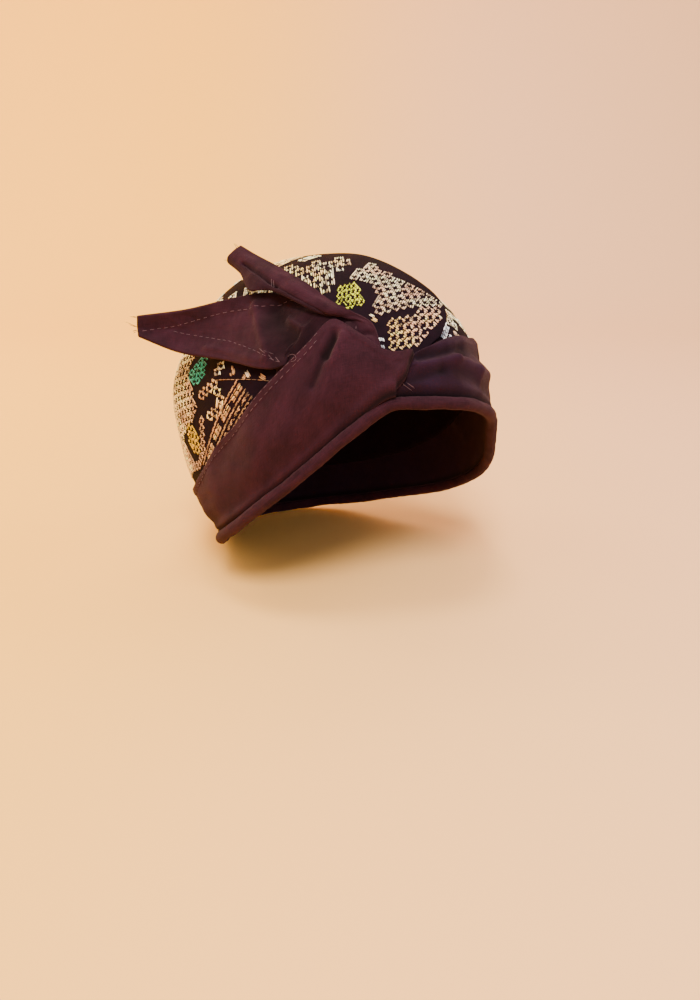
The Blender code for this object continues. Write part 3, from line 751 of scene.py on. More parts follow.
def cotton(name, light, deep, sheen=0.06):
    """Plain-woven dyed cotton. The yarns are drawn half again as coarse as the real 0.4 mm, so that the
    weave shows at the render's size; uneven yarns and worn dye give it a dry, heathered look."""
    material, tree = blank(name)
    place = add(tree, "ShaderNodeUVMap", uv_map="Cloth").outputs[0]
    weave = plain_weave(tree, place)
    runs = []
    for stretch in ((1, 14, 1), (14, 1, 1)):
        yarns = add(tree, "ShaderNodeMapping", {"Vector": place, "Scale": stretch})
        runs.append(add(tree, "ShaderNodeTexNoise", {"Vector": yarns.outputs[0], "Detail": 2.0,
                                                     "Scale": SLUB_RATE / YARN_PITCH}).outputs["Fac"])
    slub = add(tree, "ShaderNodeMix", {"Factor": 0.5, 2: runs[0], 3: runs[1]}).outputs[0]
    patches = add(tree, "ShaderNodeTexNoise", {"Vector": place, "Scale": 60.0, "Detail": 5.0,
                                               "Roughness": 0.6}).outputs["Fac"]
    blend = add(tree, "ShaderNodeMix", {"Factor": 0.5, 2: slub, 3: patches}).outputs[0]
    ramp = add(tree, "ShaderNodeValToRGB", {"Fac": blend})
    for stop, position, colour in zip(ramp.color_ramp.elements, (0.37, 0.66), (deep, light)):
        stop.position = position
        stop.color = (*colour, 1)
    threads = add(tree, "ShaderNodeMix", {"Factor": 0.35, 2: slub, 3: weave}).outputs[0]
    height = add(tree, "ShaderNodeMath", {0: threads, 1: patches}, operation="ADD").outputs[0]
    # Painted shading from the mesh scales the colour: painted shade in folds and hollows, painted highlight
    # on ridges.
    painted_shading = add(tree, "ShaderNodeAttribute", attribute_name="painted_shading").outputs["Fac"]
    shading_factor = add(tree, "ShaderNodeMath", {0: painted_shading, 1: 1.0}, operation="ADD").outputs[0]
    shaded_dye = add(tree, "ShaderNodeVectorMath", {0: ramp.outputs["Color"], "Scale": shading_factor}, operation="SCALE")
    bump = add(tree, "ShaderNodeBump", {"Height": height, "Strength": 0.6, "Distance": 0.0006})
    shader = add(tree, "ShaderNodeBsdfPrincipled", {
        "Base Color": shaded_dye.outputs[0], "Normal": bump.outputs[0], "Roughness": 0.88,
        "Sheen Weight": sheen, "Sheen Roughness": 0.5, "Sheen Tint": (0.9, 0.5, 0.52, 1),
        "Specular IOR Level": 0.08})
    add(tree, "ShaderNodeOutputMaterial", {"Surface": shader.outputs[0]})
    return material


def thread(name, roughness):
    """Spun thread, coloured thread by thread from the mesh. The fine twist is drawn as small breaks
    of light along it."""
    material, tree = blank(name)
    tint = add(tree, "ShaderNodeAttribute", attribute_name="tint").outputs["Color"]
    place = add(tree, "ShaderNodeTexCoord").outputs["Object"]
    fibres = add(tree, "ShaderNodeTexNoise", {"Vector": place, "Scale": 2600.0,
                                              "Detail": 2.0}).outputs["Fac"]
    bump = add(tree, "ShaderNodeBump", {"Height": fibres, "Strength": 0.35, "Distance": 0.0002})
    shader = add(tree, "ShaderNodeBsdfPrincipled", {
        "Base Color": tint, "Normal": bump.outputs[0], "Roughness": roughness,
        "Sheen Weight": 0.1, "Specular IOR Level": 0.4})
    add(tree, "ShaderNodeOutputMaterial", {"Surface": shader.outputs[0]})
    return material


def paper(name, left, right):
    """Seamless backdrop paper, pale and dull, with painted warm light towards its left."""
    material, tree = blank(name)
    place = add(tree, "ShaderNodeTexCoord").outputs["Object"]
    turned = add(tree, "ShaderNodeMapping", {"Vector": place, "Rotation": (0, 0, math.radians(-STAGE_TURN)),
                                             "Scale": (1.6, 1.6, 1.6), "Location": (0.5, 0, 0)})
    across = add(tree, "ShaderNodeSeparateXYZ", {"Vector": turned.outputs[0]}).outputs["X"]
    ramp = add(tree, "ShaderNodeValToRGB", {"Fac": across})
    ramp.color_ramp.interpolation = "EASE"
    for stop, colour in zip(ramp.color_ramp.elements, (left, right)):
        stop.color = (*colour, 1)
    shader = add(tree, "ShaderNodeBsdfPrincipled", {"Base Color": ramp.outputs["Color"], "Roughness": 0.95,
                                                    "Specular IOR Level": 0.1})
    add(tree, "ShaderNodeOutputMaterial", {"Surface": shader.outputs[0]})
    return material


def surface_of(piece):
    """The piece's outer skin for looking up points, in millimetres and upright."""
    mesh = piece.data
    points = np.empty(len(mesh.vertices) * 3)
    mesh.vertices.foreach_get("co", points)
    upright = unlean(points.reshape(-1, 3) / MM)
    return BVHTree.FromPolygons(upright.tolist(), [list(f.vertices) for f in mesh.polygons])


def landing(skin, directions):
    """Where rays towards the origin meet a skin: points and normals, upright, with a mask of hits."""
    points = np.zeros(directions.shape)
    normals = np.zeros(directions.shape)
    met = np.zeros(len(directions), bool)
    for k, direction in enumerate(directions.tolist()):
        towards = Vector(direction)
        place, normal, _, _ = skin.ray_cast(towards * 200, -towards)
        if place is not None:
            points[k] = place
            normals[k] = normal
            met[k] = True
    return points, normals, met


def strands(stations, normals, sides, widths, rise, sink):
    """Closed threads with pointed ends. Each has four stations along it; sections are diamonds."""
    count = len(stations)
    base = np.zeros((count, 10, 3))
    base[:, 0] = stations[:, 0] - normals[:, 0] * sink
    base[:, 9] = stations[:, 3] - normals[:, 3] * sink
    side = sides * widths[:, None] / 2
    for station, start in ((1, 1), (2, 5)):
        centre = stations[:, station]
        up = normals[:, station]
        base[:, start] = centre + side + up * rise * SHOULDER
        base[:, start + 1] = centre + up * rise
        base[:, start + 2] = centre - side + up * rise * SHOULDER
        base[:, start + 3] = centre - up * sink
    pattern = []
    for k in range(4):
        n = (k + 1) % 4
        pattern += [(0, 1 + n, 1 + k), (9, 5 + k, 5 + n)]
        pattern += [(1 + k, 1 + n, 5 + n), (1 + k, 5 + n, 5 + k)]
    faces = (np.array(pattern)[None] + np.arange(count)[:, None, None] * 10).reshape(-1, 3)
    return base.reshape(-1, 3), faces


def thread_piece(name, stations, normals, width, rise, tints, material, sink):
    """One object of many threads, each with its own tint. They rise from the cloth and sink into it."""
    along = unit(stations[:, 2] - stations[:, 1])
    sides = unit(np.cross(along, normals[:, 1]))
    points, faces = strands(stations, normals, sides, np.broadcast_to(width, len(stations)), rise, sink)
    piece = new_piece(name, points, faces.tolist(), material)
    colours = np.ones((len(stations), 10, 4))
    colours[:, :, :3] = tints[:, None]
    layer = piece.data.color_attributes.new("tint", "FLOAT_COLOR", "POINT")
    layer.data.foreach_set("color", colours.astype(np.float32).reshape(-1))
    return piece


class Field:
    """A patch of the brocade's chart, laid on the cloth around one direction."""

    def __init__(self, around, up, a, b):
        self.centre = ray(around, up)
        self.east = np.array([math.cos(math.radians(around)), math.sin(math.radians(around)), 0.0])
        self.up = np.cross(self.east, -self.centre)
        self.reach = float(form_reach(self.centre)) + SONGKET_STAND
        self.a = np.array(a)
        self.b = np.array(b)
        self.along = (self.a + self.b) / PERIOD
        self.aside = (self.a - self.b) / PERIOD
        turned = abs(self.along[0] * self.aside[1] - self.along[1] * self.aside[0])
        self.spacing = turned / np.linalg.norm(self.along)

    def towards(self, flat):
        """Directions of places on the patch, given east and up in millimetres from its centre."""
        far = np.linalg.norm(flat, axis=-1, keepdims=True) + 1e-9
        heading = (flat[..., :1] * self.east + flat[..., 1:] * self.up) / far
        return np.cos(far / self.reach) * self.centre + np.sin(far / self.reach) * heading


def charted_runs(eyelets):
    """Runs of cells (pick, first, last) that the floats round a set of eyelets cover. A warp thread
    ties them down midway between eyelets, so that none is longer than a period."""
    reach = range(-EYELET_RING, EYELET_RING + 1)
    cells = {(i + di, j + dj) for i, j in eyelets for di in reach for dj in reach}
    cells |= {(i + 1, j) for i, j in cells if (i + 1, j) not in cells and (i + 2, j) in cells}
    cells -= {(i + di, j + dj) for i, j in eyelets for di in reach for dj in reach
              if abs(di) + abs(dj) <= EYELET_HOLE}
    runs = []
    for i, j in sorted(cells, key=lambda cell: (cell[1], cell[0])):
        tied = (i + PERIOD // 2 * (1 - round(j * 2 / PERIOD) % 2)) % PERIOD == 0
        if runs and runs[-1][0] == j and runs[-1][2] == i - 1 and not tied:
            runs[-1][2] = i
        else:
            runs.append([j, i, i])
    return np.array(runs, float)


class Floats:
    """Threads gathered for laying: four directions along each, its width and its tint."""

    def __init__(self, colours, sizes):
        self.colours = colours
        self.share = sizes.float_share
        self.gap = sizes.tie_gap / MM
        self.chance = np.random.default_rng(7)
        self.parts = []

    def tints(self, first, second, drift):
        """Each thread's own colour, between two dyes."""
        mix = smooth_step(0.5 + drift)[:, None]
        ends = [np.array(getattr(self.colours, name)) for name in (first, second)]
        dye = ends[0] * (1 - mix) + ends[1] * mix
        count = len(mix)
        shade = self.chance.normal(1.0, SHADE_SPREAD, (count, 1))
        shade = shade + self.chance.normal(0, TINT_SPREAD, (count, 3))
        worn = self.chance.random((count, 1)) < WORN_SHARE
        return np.clip(dye * shade * np.where(worn, WORN_DARK, 1.0), 0, 1)

    def add_block(self, field, eyelets, first, second, lean_east):
        """A block of eyelets, each given by its row and place in the row."""
        half = PERIOD // 2
        cells = [(half * (m + n), half * (m - n)) for m, n in eyelets]
        runs = charted_runs(cells)
        runs = runs[self.chance.random(len(runs)) > LOST_SHARE]
        cell = np.linalg.norm(field.along)
        start = runs[:, 1] - 0.5 + self.gap / cell / 2
        end = runs[:, 2] + 0.5 - self.gap / cell / 2
        shift = np.clip(self.chance.normal(0, 1, (len(runs), 4)), -RAGGED_MOST, RAGGED_MOST) * RAGGED
        stops = np.stack([start + shift[:, 0], start + FULL_FROM, end - FULL_FROM, end + shift[:, 1]], -1)
        lines = runs[:, :1] + shift[:, 2:3] * RAGGED_ASIDE + shift[:, 3:] * RAGGED_SLANT
        flat = stops[..., None] * field.along + lines[..., None] * field.aside
        middle = flat.mean(axis=1)
        drift = lean_east * middle[:, 0] / DYE_SPAN + drape(middle + field.centre[:2] * 50, DYE_WAVES)
        self.parts.append((field.towards(flat), np.full(len(runs), field.spacing * self.share),
                           self.tints(first, second, drift)))

    def add_line(self, start, end, width, dye):
        """Single threads between arrays of directions."""
        towards = unit(start[:, None] * (1 - LINE_STOPS) + end[:, None] * LINE_STOPS)
        self.parts.append((towards, np.full(len(start), width), self.tints(dye, dye, np.zeros(len(start)))))

    def all(self):
        """Directions, widths and tints of all the threads."""
        return [np.concatenate([part[k] for part in self.parts]) for k in range(3)]


def border_lines(floats):
    """The striped border, laid along its guide line."""
    guide = unit(curve_through(ray(*np.array(BORDER_GUIDE, float).T), np.linspace(0, 1, 200)))
    table = edge_table(guide * (form_reach(guide) + SONGKET_STAND)[:, None])
    for offset, length, group, gap, start, dye in BORDER_PICKS:
        marks = []
        at = start
        while at < table[-1, 0] - length:
            for _ in range(group):
                marks.append(at)
                at += length + BORDER_GAP
            at += gap
        marks = np.array([m for m in marks if m + length < table[-1, 0]])
        ends = []
        for place in (marks, marks + length):
            point = row_at(table, place)
            ahead = row_at(table, place + 0.5) - row_at(table, place - 0.5)
            side = unit(np.cross(unit(ahead), unit(point)))
            side *= np.sign(side @ ray(-20, 20))[:, None]
            ends.append(unit(point + side * offset))
        floats.add_line(ends[0], ends[1], BORDER_PITCH * floats.share, dye)


def stroke_lines(floats):
    """Lone strokes, each of a few picks that are split into short floats."""
    for dye, start, end, picks, spacing in STROKES:
        a, b = ray(*start), ray(*end)
        reach = float(form_reach(a)) + SONGKET_STAND
        side = unit(np.cross(a, b - a)) * spacing / reach
        span = float(np.linalg.norm(b - a))
        parts = max(1, round(span * reach / STROKE_FLOAT))
        for pick in range(picks):
            off = side * (pick - (picks - 1) / 2)
            cuts = np.linspace(0, 1, parts + 1)
            trim = STROKE_TRIM / reach / span
            stagger = STROKE_STAGGER * (pick % 2) / parts
            starts = np.array([a + (b - a) * (t + trim + stagger) + off for t in cuts[:-1]])
            ends = np.array([a + (b - a) * (t - trim + stagger) + off for t in cuts[1:]])
            floats.add_line(unit(starts), unit(ends), spacing * floats.share, dye)


def medallion_blocks(floats):
    """Medallions over the rest of the crown, clear of the charted blocks, the crest and each other. A
    cream one's lozenge and net are one group, which is laid in both dyes."""
    taken = np.concatenate([part[0][:, 1] for part in floats.parts])
    crest = panel_edge(0, np.linspace(0, 1, 160))
    trees = []
    for directions in (taken, crest):
        tree = KDTree(len(directions))
        for k, direction in enumerate(directions.tolist()):
            tree.insert(direction, k)
        tree.balance()
        trees.append(tree)
    centres = np.array([ray(around, up) for around, up, _ in MEDALLIONS])
    for (around, up, dye), centre in zip(MEDALLIONS, centres):
        field = Field(around, up, *MEDALLION_STEPS)
        groups = {dye: [], "cream": []}
        for m in range(-MEDALLION_REACH, MEDALLION_REACH + 1):
            for n in range(-MEDALLION_REACH, MEDALLION_REACH + 1):
                direction = field.towards(m * field.a + n * field.b)
                far = np.arccos(np.clip(centres @ direction, -1, 1)) * field.reach
                own = math.acos(min(1.0, float(centre @ direction))) * field.reach
                others = np.partition(far, 1)[1]
                near, edge = [tree.find(direction.tolist())[2] * field.reach for tree in trees]
                if own > far.min() + 1e-6 or others - own < 2 * PLAIN_MARGIN:
                    continue
                if near < BLOCK_MARGIN or edge < CREST_MARGIN or own > BARE_ZONE:
                    continue
                step = abs(m) + abs(n)
                if step <= LOZENGE:
                    groups[dye].append((m, n))
                elif step > BARE_RING:
                    groups["cream"].append((m, n))
        if groups[dye]:
            floats.add_block(field, groups[dye], dye, dye, 0.0)
        if groups["cream"]:
            floats.add_block(field, groups["cream"], "gold", "cream", 0.0)


def lay_floats(skins, sizes, colours):
    """Lay every thread of the brocade on the panels: stations, normals, widths and tints for each."""
    floats = Floats(colours, sizes)
    for name, first, second, lean_east, rows in BLOCKS:
        around_up, a, b = FIELDS[name]
        eyelets = [(m, n) for n, start, end in rows for m in range(start, end + 1)]
        floats.add_block(Field(*around_up, a, b), eyelets, first, second, lean_east)
    border_lines(floats)
    stroke_lines(floats)
    medallion_blocks(floats)
    directions, widths, tints = floats.all()
    around, up = angles_of(directions[:, 1])
    waiting = up > band_top(around) - UNDER_BAND
    laid = {}
    for name, skin in skins.items():
        held = np.flatnonzero(waiting)
        points, normals, met = landing(skin, directions[held].reshape(-1, 3))
        points, normals = points.reshape(-1, 4, 3), normals.reshape(-1, 4, 3)
        level = np.ptp(np.linalg.norm(points, axis=-1), axis=1) < LEVEL
        whole = met.reshape(-1, 4).all(axis=1) & level
        laid[name] = (points[whole], normals[whole], widths[held][whole], tints[held][whole])
        waiting[held[whole]] = False
    return laid


def band_top(around):
    """Up angle of whichever band covers the crown's foot."""
    right = row_at(RIGHT_TOP, around)[..., 0]
    left = row_at(LEFT_TOP, around)[..., 0]
    return np.where(around < FLAP_END, right, left)


def between(around, v, bottom, top):
    """Directions on a strip of cloth: v runs from its lower edge to its upper edge."""
    return ray(around[None, :], bottom[None, :] + (top - bottom)[None, :] * v[:, None])


def crown_points(around, v, stand):
    """The cap under the fold: v runs from its foot to the top."""
    direction = between(around, v, band_top(around) - TUCK, 90)
    return on_form(direction, stand + bulge(direction) - fold_depth("crown", direction))


def panel_edge(column, u):
    """Directions along the folded panel's crest, column 0, or its foot, column 1."""
    return unit(curve_through(np.array([ray(*row[column]) for row in CREST_AND_FOOT]), u))


def fold_points(u, v, lift):
    """One face of the folded panel: u runs from front to back, v from its crest to its foot. Lift is 1
    for the outer face and 0 for the inner one."""
    crest, foot = panel_edge(0, u), panel_edge(1, u)
    angle = np.arccos(np.clip((crest * foot).sum(axis=1), -1, 1))[None, :, None]
    share = v[:, None, None]
    direction = (np.sin((1 - share) * angle) * crest + np.sin(share * angle) * foot) / np.sin(angle)
    near_crest = hill(v, CREST_WIDTH)[:, None]
    rises = [(k / (len(CREST_AND_FOOT) - 1), row[2]) for k, row in enumerate(CREST_AND_FOOT)]
    rise = row_at(rises, u)[None, :, 0]
    stand = FORM_GAP + SONGKET_WALL + LAYER_GAP + rise * near_crest
    stand = stand + lift * (SONGKET_WALL + CREST_THICKENING * near_crest * np.minimum(rise, 1.0))
    stand = stand - lift * fold_depth("crown_fold", direction) * np.minimum(v / CREST_WIDTH, 1.0)[:, None]
    return on_form(direction, stand + bulge(direction))


def wrap_foot(around):
    """Up angle of the bands' lower edge, just clear of the roll."""
    up = row_at(ROLL_PATH, around)[..., 0]
    ahead = row_at(ROLL_PATH, around + 1)[..., 0]
    behind = row_at(ROLL_PATH, around - 1)[..., 0]
    slope = (ahead - behind) / 2 / np.cos(np.radians(up))
    return up + WRAP_ABOVE_ROLL * np.hypot(1, slope)


def wrap_points(piece, around, v, bottom, top, stands, lift, hem):
    """One face of a band: v runs from its lower edge to its hemmed upper edge. Lift is 1 for the outer
    face and 0 for the inner one."""
    direction = between(around, v, bottom, top)
    at_top, at_bottom = np.moveaxis(row_at(stands, around), -1, 0)[:, None]
    stand = at_bottom + (at_top - at_bottom) * smooth_step(v / WRAP_BLEND)[:, None] + bulge(direction)
    flat_hem = smooth_step(np.minimum(v, 1 - v) / FLAT_HEM)[:, None]
    width = (top - bottom)[None, :] * math.pi / 180 * form_reach(direction)
    from_top = width * (1 - v)[:, None]
    from_foot = width * v[:, None]
    hem_width, hem_rise = hem
    turned = smooth_step((hem_width + HEM_STEP / 2 - from_top) / HEM_STEP)
    places = np.stack(np.broadcast_arrays(around[None, :], from_top / PUCKER_STRETCH), -1)
    puckers = drape(places, PUCKERS) * hill(from_top, PUCKER_WIDTH, hem_width)
    puff = PUFF * hill(from_foot, PUFF_WIDTH, PUFF_AT)
    wall = WRAP_WALL + BELLY * np.sin(np.pi * v)[:, None] + puff + hem_rise * turned + puckers
    uneven = drape(direction * FORM_REACH, BAND_DRAPE) * flat_hem
    sink = np.minimum(fold_depth(piece, direction) * flat_hem, FOLD_ROOM[piece])
    drop = edge_drop(from_top, WRAP_WALL / 2) + edge_drop(from_foot, WRAP_WALL / 2)
    face = lift * (wall + uneven) - sink + (drop if lift == 0 else -drop)
    return on_form(direction, stand + face)


def band_painted_shading(piece, around, v, bottom, top):
    """Painted shade in a band's folds and in a line along its foot over the roll, and painted highlight on
    its ridges.
    """
    direction = between(around, v, bottom, top)
    from_foot = (top - bottom)[None, :] * math.pi / 180 * form_reach(direction) * v[:, None]
    folds = np.clip(fold_depth(piece, direction) / PAINTED_SHADING_DEPTH, PAINTED_HIGHLIGHT_RIDGE, 1)
    return -PAINTED_SHADE_BAND * (folds + hill(from_foot, FOOT_SHADE_WIDTH, FOOT_SHADE_AT))


def crown_ground(material):
    """The cap's ground cloth, closed at the back and at the top."""
    around = np.linspace(-180, 180, 241)
    v = 1 - (1 - np.linspace(0, 1, 61)) ** CROWN_CROWDING
    outer = crown_points(around, v, FORM_GAP + SONGKET_WALL)
    inner = crown_points(around, v, FORM_GAP)
    outer[0] = inner[0] = (outer[0] + inner[0]) / 2
    for face in (outer, inner):
        face[:, -1] = face[:, 0]
        face[-1] = face[-1, 0]
    return closed_cloth("crown_cloth", outer, inner, laid_flat(outer), material)


def fold_ground(material):
    """The folded panel's ground cloth."""
    u = np.linspace(0, 1, 241)
    v = eased(100)
    outer, inner = fold_points(u, v, 1.0), fold_points(u, v, 0.0)
    join_edges(outer, inner)
    return closed_cloth("crown_fold_cloth", outer, inner, laid_flat(outer), material)


def band(name, piece, around, bottom, top, stands, lines, material, hem):
    """A hemmed band in place of one of the solids."""
    v = eased(lines)
    outer, inner = [wrap_points(piece, around, v, bottom, top, stands, lift, hem) for lift in (1.0, 0.0)]
    join_edges(outer, inner)
    WALLS[name] = (outer, inner, around, v)
    painted_shading = band_painted_shading(piece, around, v, bottom, top)
    return closed_cloth(name, outer, inner, laid_flat(outer), material, painted_shading)


def right_band(material, hem):
    """The band on the right side, whose end is folded over on the diagonal into a flap."""
    start = -180 + SEAM_HALF
    around = start + (FLAP_END - start) * np.linspace(0, 1, 301)
    bottom = wrap_foot(around)
    diagonal = np.maximum(bottom, row_at(FLAP_DIAGONAL, around)[:, 0])
    bottom = np.where(around > FLAP_DIAGONAL[0][0], diagonal, bottom)
    top = row_at(RIGHT_TOP, around)[:, 0]
    return band("right_band", "right_wrap", around, bottom, top, RIGHT_STAND, 64, material, hem)


def left_band(material, hem):
    """The band from under the flap round the left side to the centre back."""
    end = 180 - SEAM_HALF
    around = LEFT_START + (end - LEFT_START) * np.linspace(0, 1, 321)
    top = row_at(LEFT_TOP, around)[:, 0]
    return band("left_band", "left_wrap", around, wrap_foot(around), top, LEFT_STAND, 56, material, hem)


def wound_edge(material):
    """The rolled lower edge: cloth wound round itself, with the lip of its last turn along it."""
    around = np.linspace(-180, 180, 561)
    direction = ray(around, row_at(ROLL_PATH, around)[:, 0])
    centre = on_form(direction, ROLL_STAND + bulge(direction))
    ahead = np.roll(centre[:-1], -1, axis=0) - np.roll(centre[:-1], 1, axis=0)
    along = unit(np.concatenate([ahead, ahead[:1]]))
    out = unit(direction - along * (direction * along).sum(axis=1, keepdims=True))
    side = np.cross(along, out)
    turns = np.linspace(0, 2 * math.pi, 25)
    length = lengths_along(centre)
    whole = length[-1]
    lap = 2 * math.pi * length / whole
    rings = []
    for turn in turns:
        lip = LIP_RISE * np.exp(-(((turn - LIP_AT) % (2 * math.pi)) / LIP_RUN))
        spot = np.stack([np.cos(lap) * whole / LAP, np.sin(lap) * whole / LAP,
                         length * 0 + ROLL_RADIUS * math.cos(turn),
                         length * 0 + ROLL_RADIUS * math.sin(turn)], -1)
        radius = ROLL_RADIUS + lip - LIP_SUNK + drape(spot, ROLL_WRINKLES)
        rings.append(centre + radius[:, None] * (math.cos(turn) * out + math.sin(turn) * side))
    grid = np.array(rings)
    grid[-1] = grid[0]
    grid[:, -1] = grid[:, 0]
    rows, columns = grid.shape[:2]
    flat = np.stack([np.broadcast_to(length, (rows, columns)),
                     np.broadcast_to(turns[:, None] * ROLL_RADIUS, (rows, columns))], -1)
    # Painted shade round the roll, along the groove where the band meets it.
    groove_shade = -PAINTED_SHADE_ROLL * hill(turns[:-1], GROOVE_WIDTH, GROOVE_TURN)
    return tube("wound_edge", grid, flat, material, np.repeat(groove_shade[:, None], columns - 1, axis=1))


def tube(name, grid, flat, material, painted_shading):
    """A closed ring of round section from a grid whose first and last rows and columns meet."""
    rows, columns = grid.shape[0] - 1, grid.shape[1] - 1
    index = np.arange(rows * columns).reshape(rows, columns)
    next_row = np.roll(index, -1, axis=0)
    quads = np.stack([index, np.roll(index, -1, axis=1), np.roll(next_row, -1, axis=1), next_row], -1)
    piece = new_piece(name, grid[:-1, :-1].reshape(-1, 3), quads.reshape(-1, 4).tolist(), material)
    corners = np.stack([flat[:-1, :-1], flat[:-1, 1:], flat[1:, 1:], flat[1:, :-1]], 2)
    finish_cloth(piece, corners, painted_shading)
    return piece


def edge_table(points):
    """Rows of length along a chain of points, with the points' coordinates."""
    return np.column_stack([lengths_along(points), points])


def tail_middle(root, rows, u, v):
    """Middle surface of a free end: u from root to tip, v from the upper edge to the lower edge."""
    lying = []
    for row in root:
        direction = ray(*np.array(row, float).T)
        lying.append(on_form(direction, ROOT_STAND + bulge(direction)))
    chain = np.concatenate([np.array(lying), np.array(rows, float)])
    tables = [edge_table(chain[:, k]) for k in range(3)]
    edges = [row_at(table, u * table[-1, 0]) for table in tables]
    w = v[:, None, None]
    bowed = (edges[0] * 2 * (w - 0.5) * (w - 1) + edges[1] * 4 * w * (1 - w)
             + edges[2] * 2 * w * (w - 0.5))
    folded = np.where(w < 0.5, edges[0] + (edges[1] - edges[0]) * 2 * w,
                      edges[1] + (edges[2] - edges[1]) * (2 * w - 1))
    return TAIL_BOW * bowed + (1 - TAIL_BOW) * folded


def tail_folds(name, u, v, length, width):
    """How far a free end's folds push its cloth in, with its length and width in millimetres."""
    place = np.stack([np.broadcast_to(u[None, :] * length, (len(v), len(u))),
                      np.broadcast_to(v[:, None] * width, (len(v), len(u)))], axis=-1)
    total = np.zeros(place.shape[:2])
    for owner, start, end, depth, half_width in TAIL_FOLDS:
        if owner == name:
            apart = apart_from(place, *np.array([start, end]) * (length, width))
            total += depth * hill(apart, half_width)
    return total


def end_painted_shading(name, u, v, length, width):
    """Painted shade in a free end's hollows and on the far side of its shade lines, and painted highlight
    on its ridges.
    """
    folds = tail_folds(name, u, v, length, width)
    painted_shading = np.where(folds > 0, *PAINTED_SHADING_END) * np.clip(folds / END_DEPTH, -1, 1)
    for owner, start, end, amount in SHADES:
        if owner == name:
            across = np.array([(end[0] - start[0]) * length, (end[1] - start[1]) * width])
            off_u = (u[None, :] - start[0]) * length
            off_v = (v[:, None] - start[1]) * width
            beyond = (across[0] * off_v - across[1] * off_u) / np.linalg.norm(across)
            painted_shading = painted_shading - amount * smooth_step(beyond / SHADE_EDGE + 0.5)
    return painted_shading


def tail_faces(name, root, rows, seams, u, v, hem_rise):
    """Both faces of a free end, thicker where its long edges are turned over."""
    middle = tail_middle(root, rows, u, v)
    along = np.gradient(middle, axis=1)
    across = np.gradient(middle, axis=0)
    out = unit(np.cross(across, along))
    down = lengths_along(middle)
    edge = np.minimum(down, down[-1] - down)
    run = lengths_along(middle[len(v) // 2])
    to_tip = (run[-1] - run)[None, :]
    thicker = 0.0
    for k, seam in enumerate(seams):
        crossing = np.interp(u, *np.array(sorted(seam)).T)
        beyond = (crossing[None, :] - v[:, None]) * down[-1] * (1 if k == 0 else -1)
        thicker = np.maximum(thicker, smooth_step(beyond / HEM_STEP + 0.5))
        thicker = thicker - SEAM_PULL * hill(beyond, SEAM_WIDTH)
    half = TAIL_WALL / 2 + hem_rise * 0.5 * thicker
    half = np.maximum(half - edge_drop(edge, TAIL_WALL / 2) - edge_drop(to_tip, TAIL_WALL / 2), 0.0)
    folds = tail_folds(name, u, v, run[-1], down[-1].mean())
    shift = out * ((drape(middle, END_DRAPE) - folds) * smooth_step(edge / EDGE_FLAT))[..., None]
    return middle + shift + out * half[..., None], middle + shift - out * half[..., None]


def free_end(name, root, rows, seams, columns, material, hem_rise):
    """One of the free ends, from its root under the right band to its cut tip."""
    u = np.linspace(0, 1, columns + 1)
    v = eased(72)
    outer, inner = tail_faces(name, root, rows, seams, u, v, hem_rise)
    join_edges(outer, inner)
    WALLS[name] = (outer, inner, u, v)
    flat = laid_flat(outer)
    painted_shading = end_painted_shading(name, u, v, flat[0, -1, 0], np.ptp(flat[:, columns // 2, 1]))
    return closed_cloth(name, outer, inner, flat, material, painted_shading)


def at_places(grid, rows, columns):
    """Points of a grid at fractional rows and columns."""
    r = np.clip(np.floor(rows).astype(int), 0, grid.shape[0] - 2)
    c = np.clip(np.floor(columns).astype(int), 0, grid.shape[1] - 2)
    s = (rows - r)[..., None]
    t = (columns - c)[..., None]
    return ((grid[r, c] * (1 - t) + grid[r, c + 1] * t) * (1 - s)
            + (grid[r + 1, c] * (1 - t) + grid[r + 1, c + 1] * t) * s)


def running_stitch(outer, inner, rows, columns, sizes, chance, both=True):
    """Stations and normals of running stitches along a line through a wall's grids."""
    length = lengths_along(at_places(outer, rows, columns))
    stitch = sizes.stitch_length / MM
    pitch = stitch + sizes.stitch_gap / MM
    marks = np.arange(1.0, length[-1] - pitch, pitch)
    marks = marks + chance.normal(0, STITCH_WANDER, len(marks))
    stations = []
    normals = []
    sides = ((outer, inner, 0.0), (inner, outer, pitch / 2))
    for face, back, shift in sides if both else sides[:1]:
        stops = marks[:, None] + shift + stitch * STITCH_STOPS
        r = np.interp(stops, length, rows) + chance.normal(0, ROW_WANDER, (len(marks), 1))
        c = np.interp(stops, length, columns)
        top = at_places(face, r, c)
        stations.append(top)
        normals.append(unit(top - at_places(back, r, c)))
    return np.concatenate(stations), np.concatenate(normals)


def hem_line(outer, offset):
    """Grid rows that lie at a distance below a band's upper edge, one for each column."""
    rows = np.arange(outer.shape[0])[::-1]
    return np.array([np.interp(offset, down, rows) for down in lengths_along(outer[::-1]).T])


def finish_seams(name, made, loose, sizes, colours, chance, material):
    """One object of sewing thread and loose yarns for a piece."""
    stations = np.concatenate([m[0] for m in made + loose])
    normals = np.concatenate([m[1] for m in made + loose])
    sewn = sum(len(m[0]) for m in made)
    dyes = np.array([colours.stitch] * sewn + [colours.yarn] * (len(stations) - sewn))
    tints = np.clip(dyes * chance.normal(1.0, 0.2, (len(stations), 1)), 0, 1)
    width = sizes.stitch_width / MM
    piece = thread_piece(name + "_stitches", stations, normals, width, width * STITCH_RISE, tints,
                         material, STITCH_SINK)
    assign(piece)


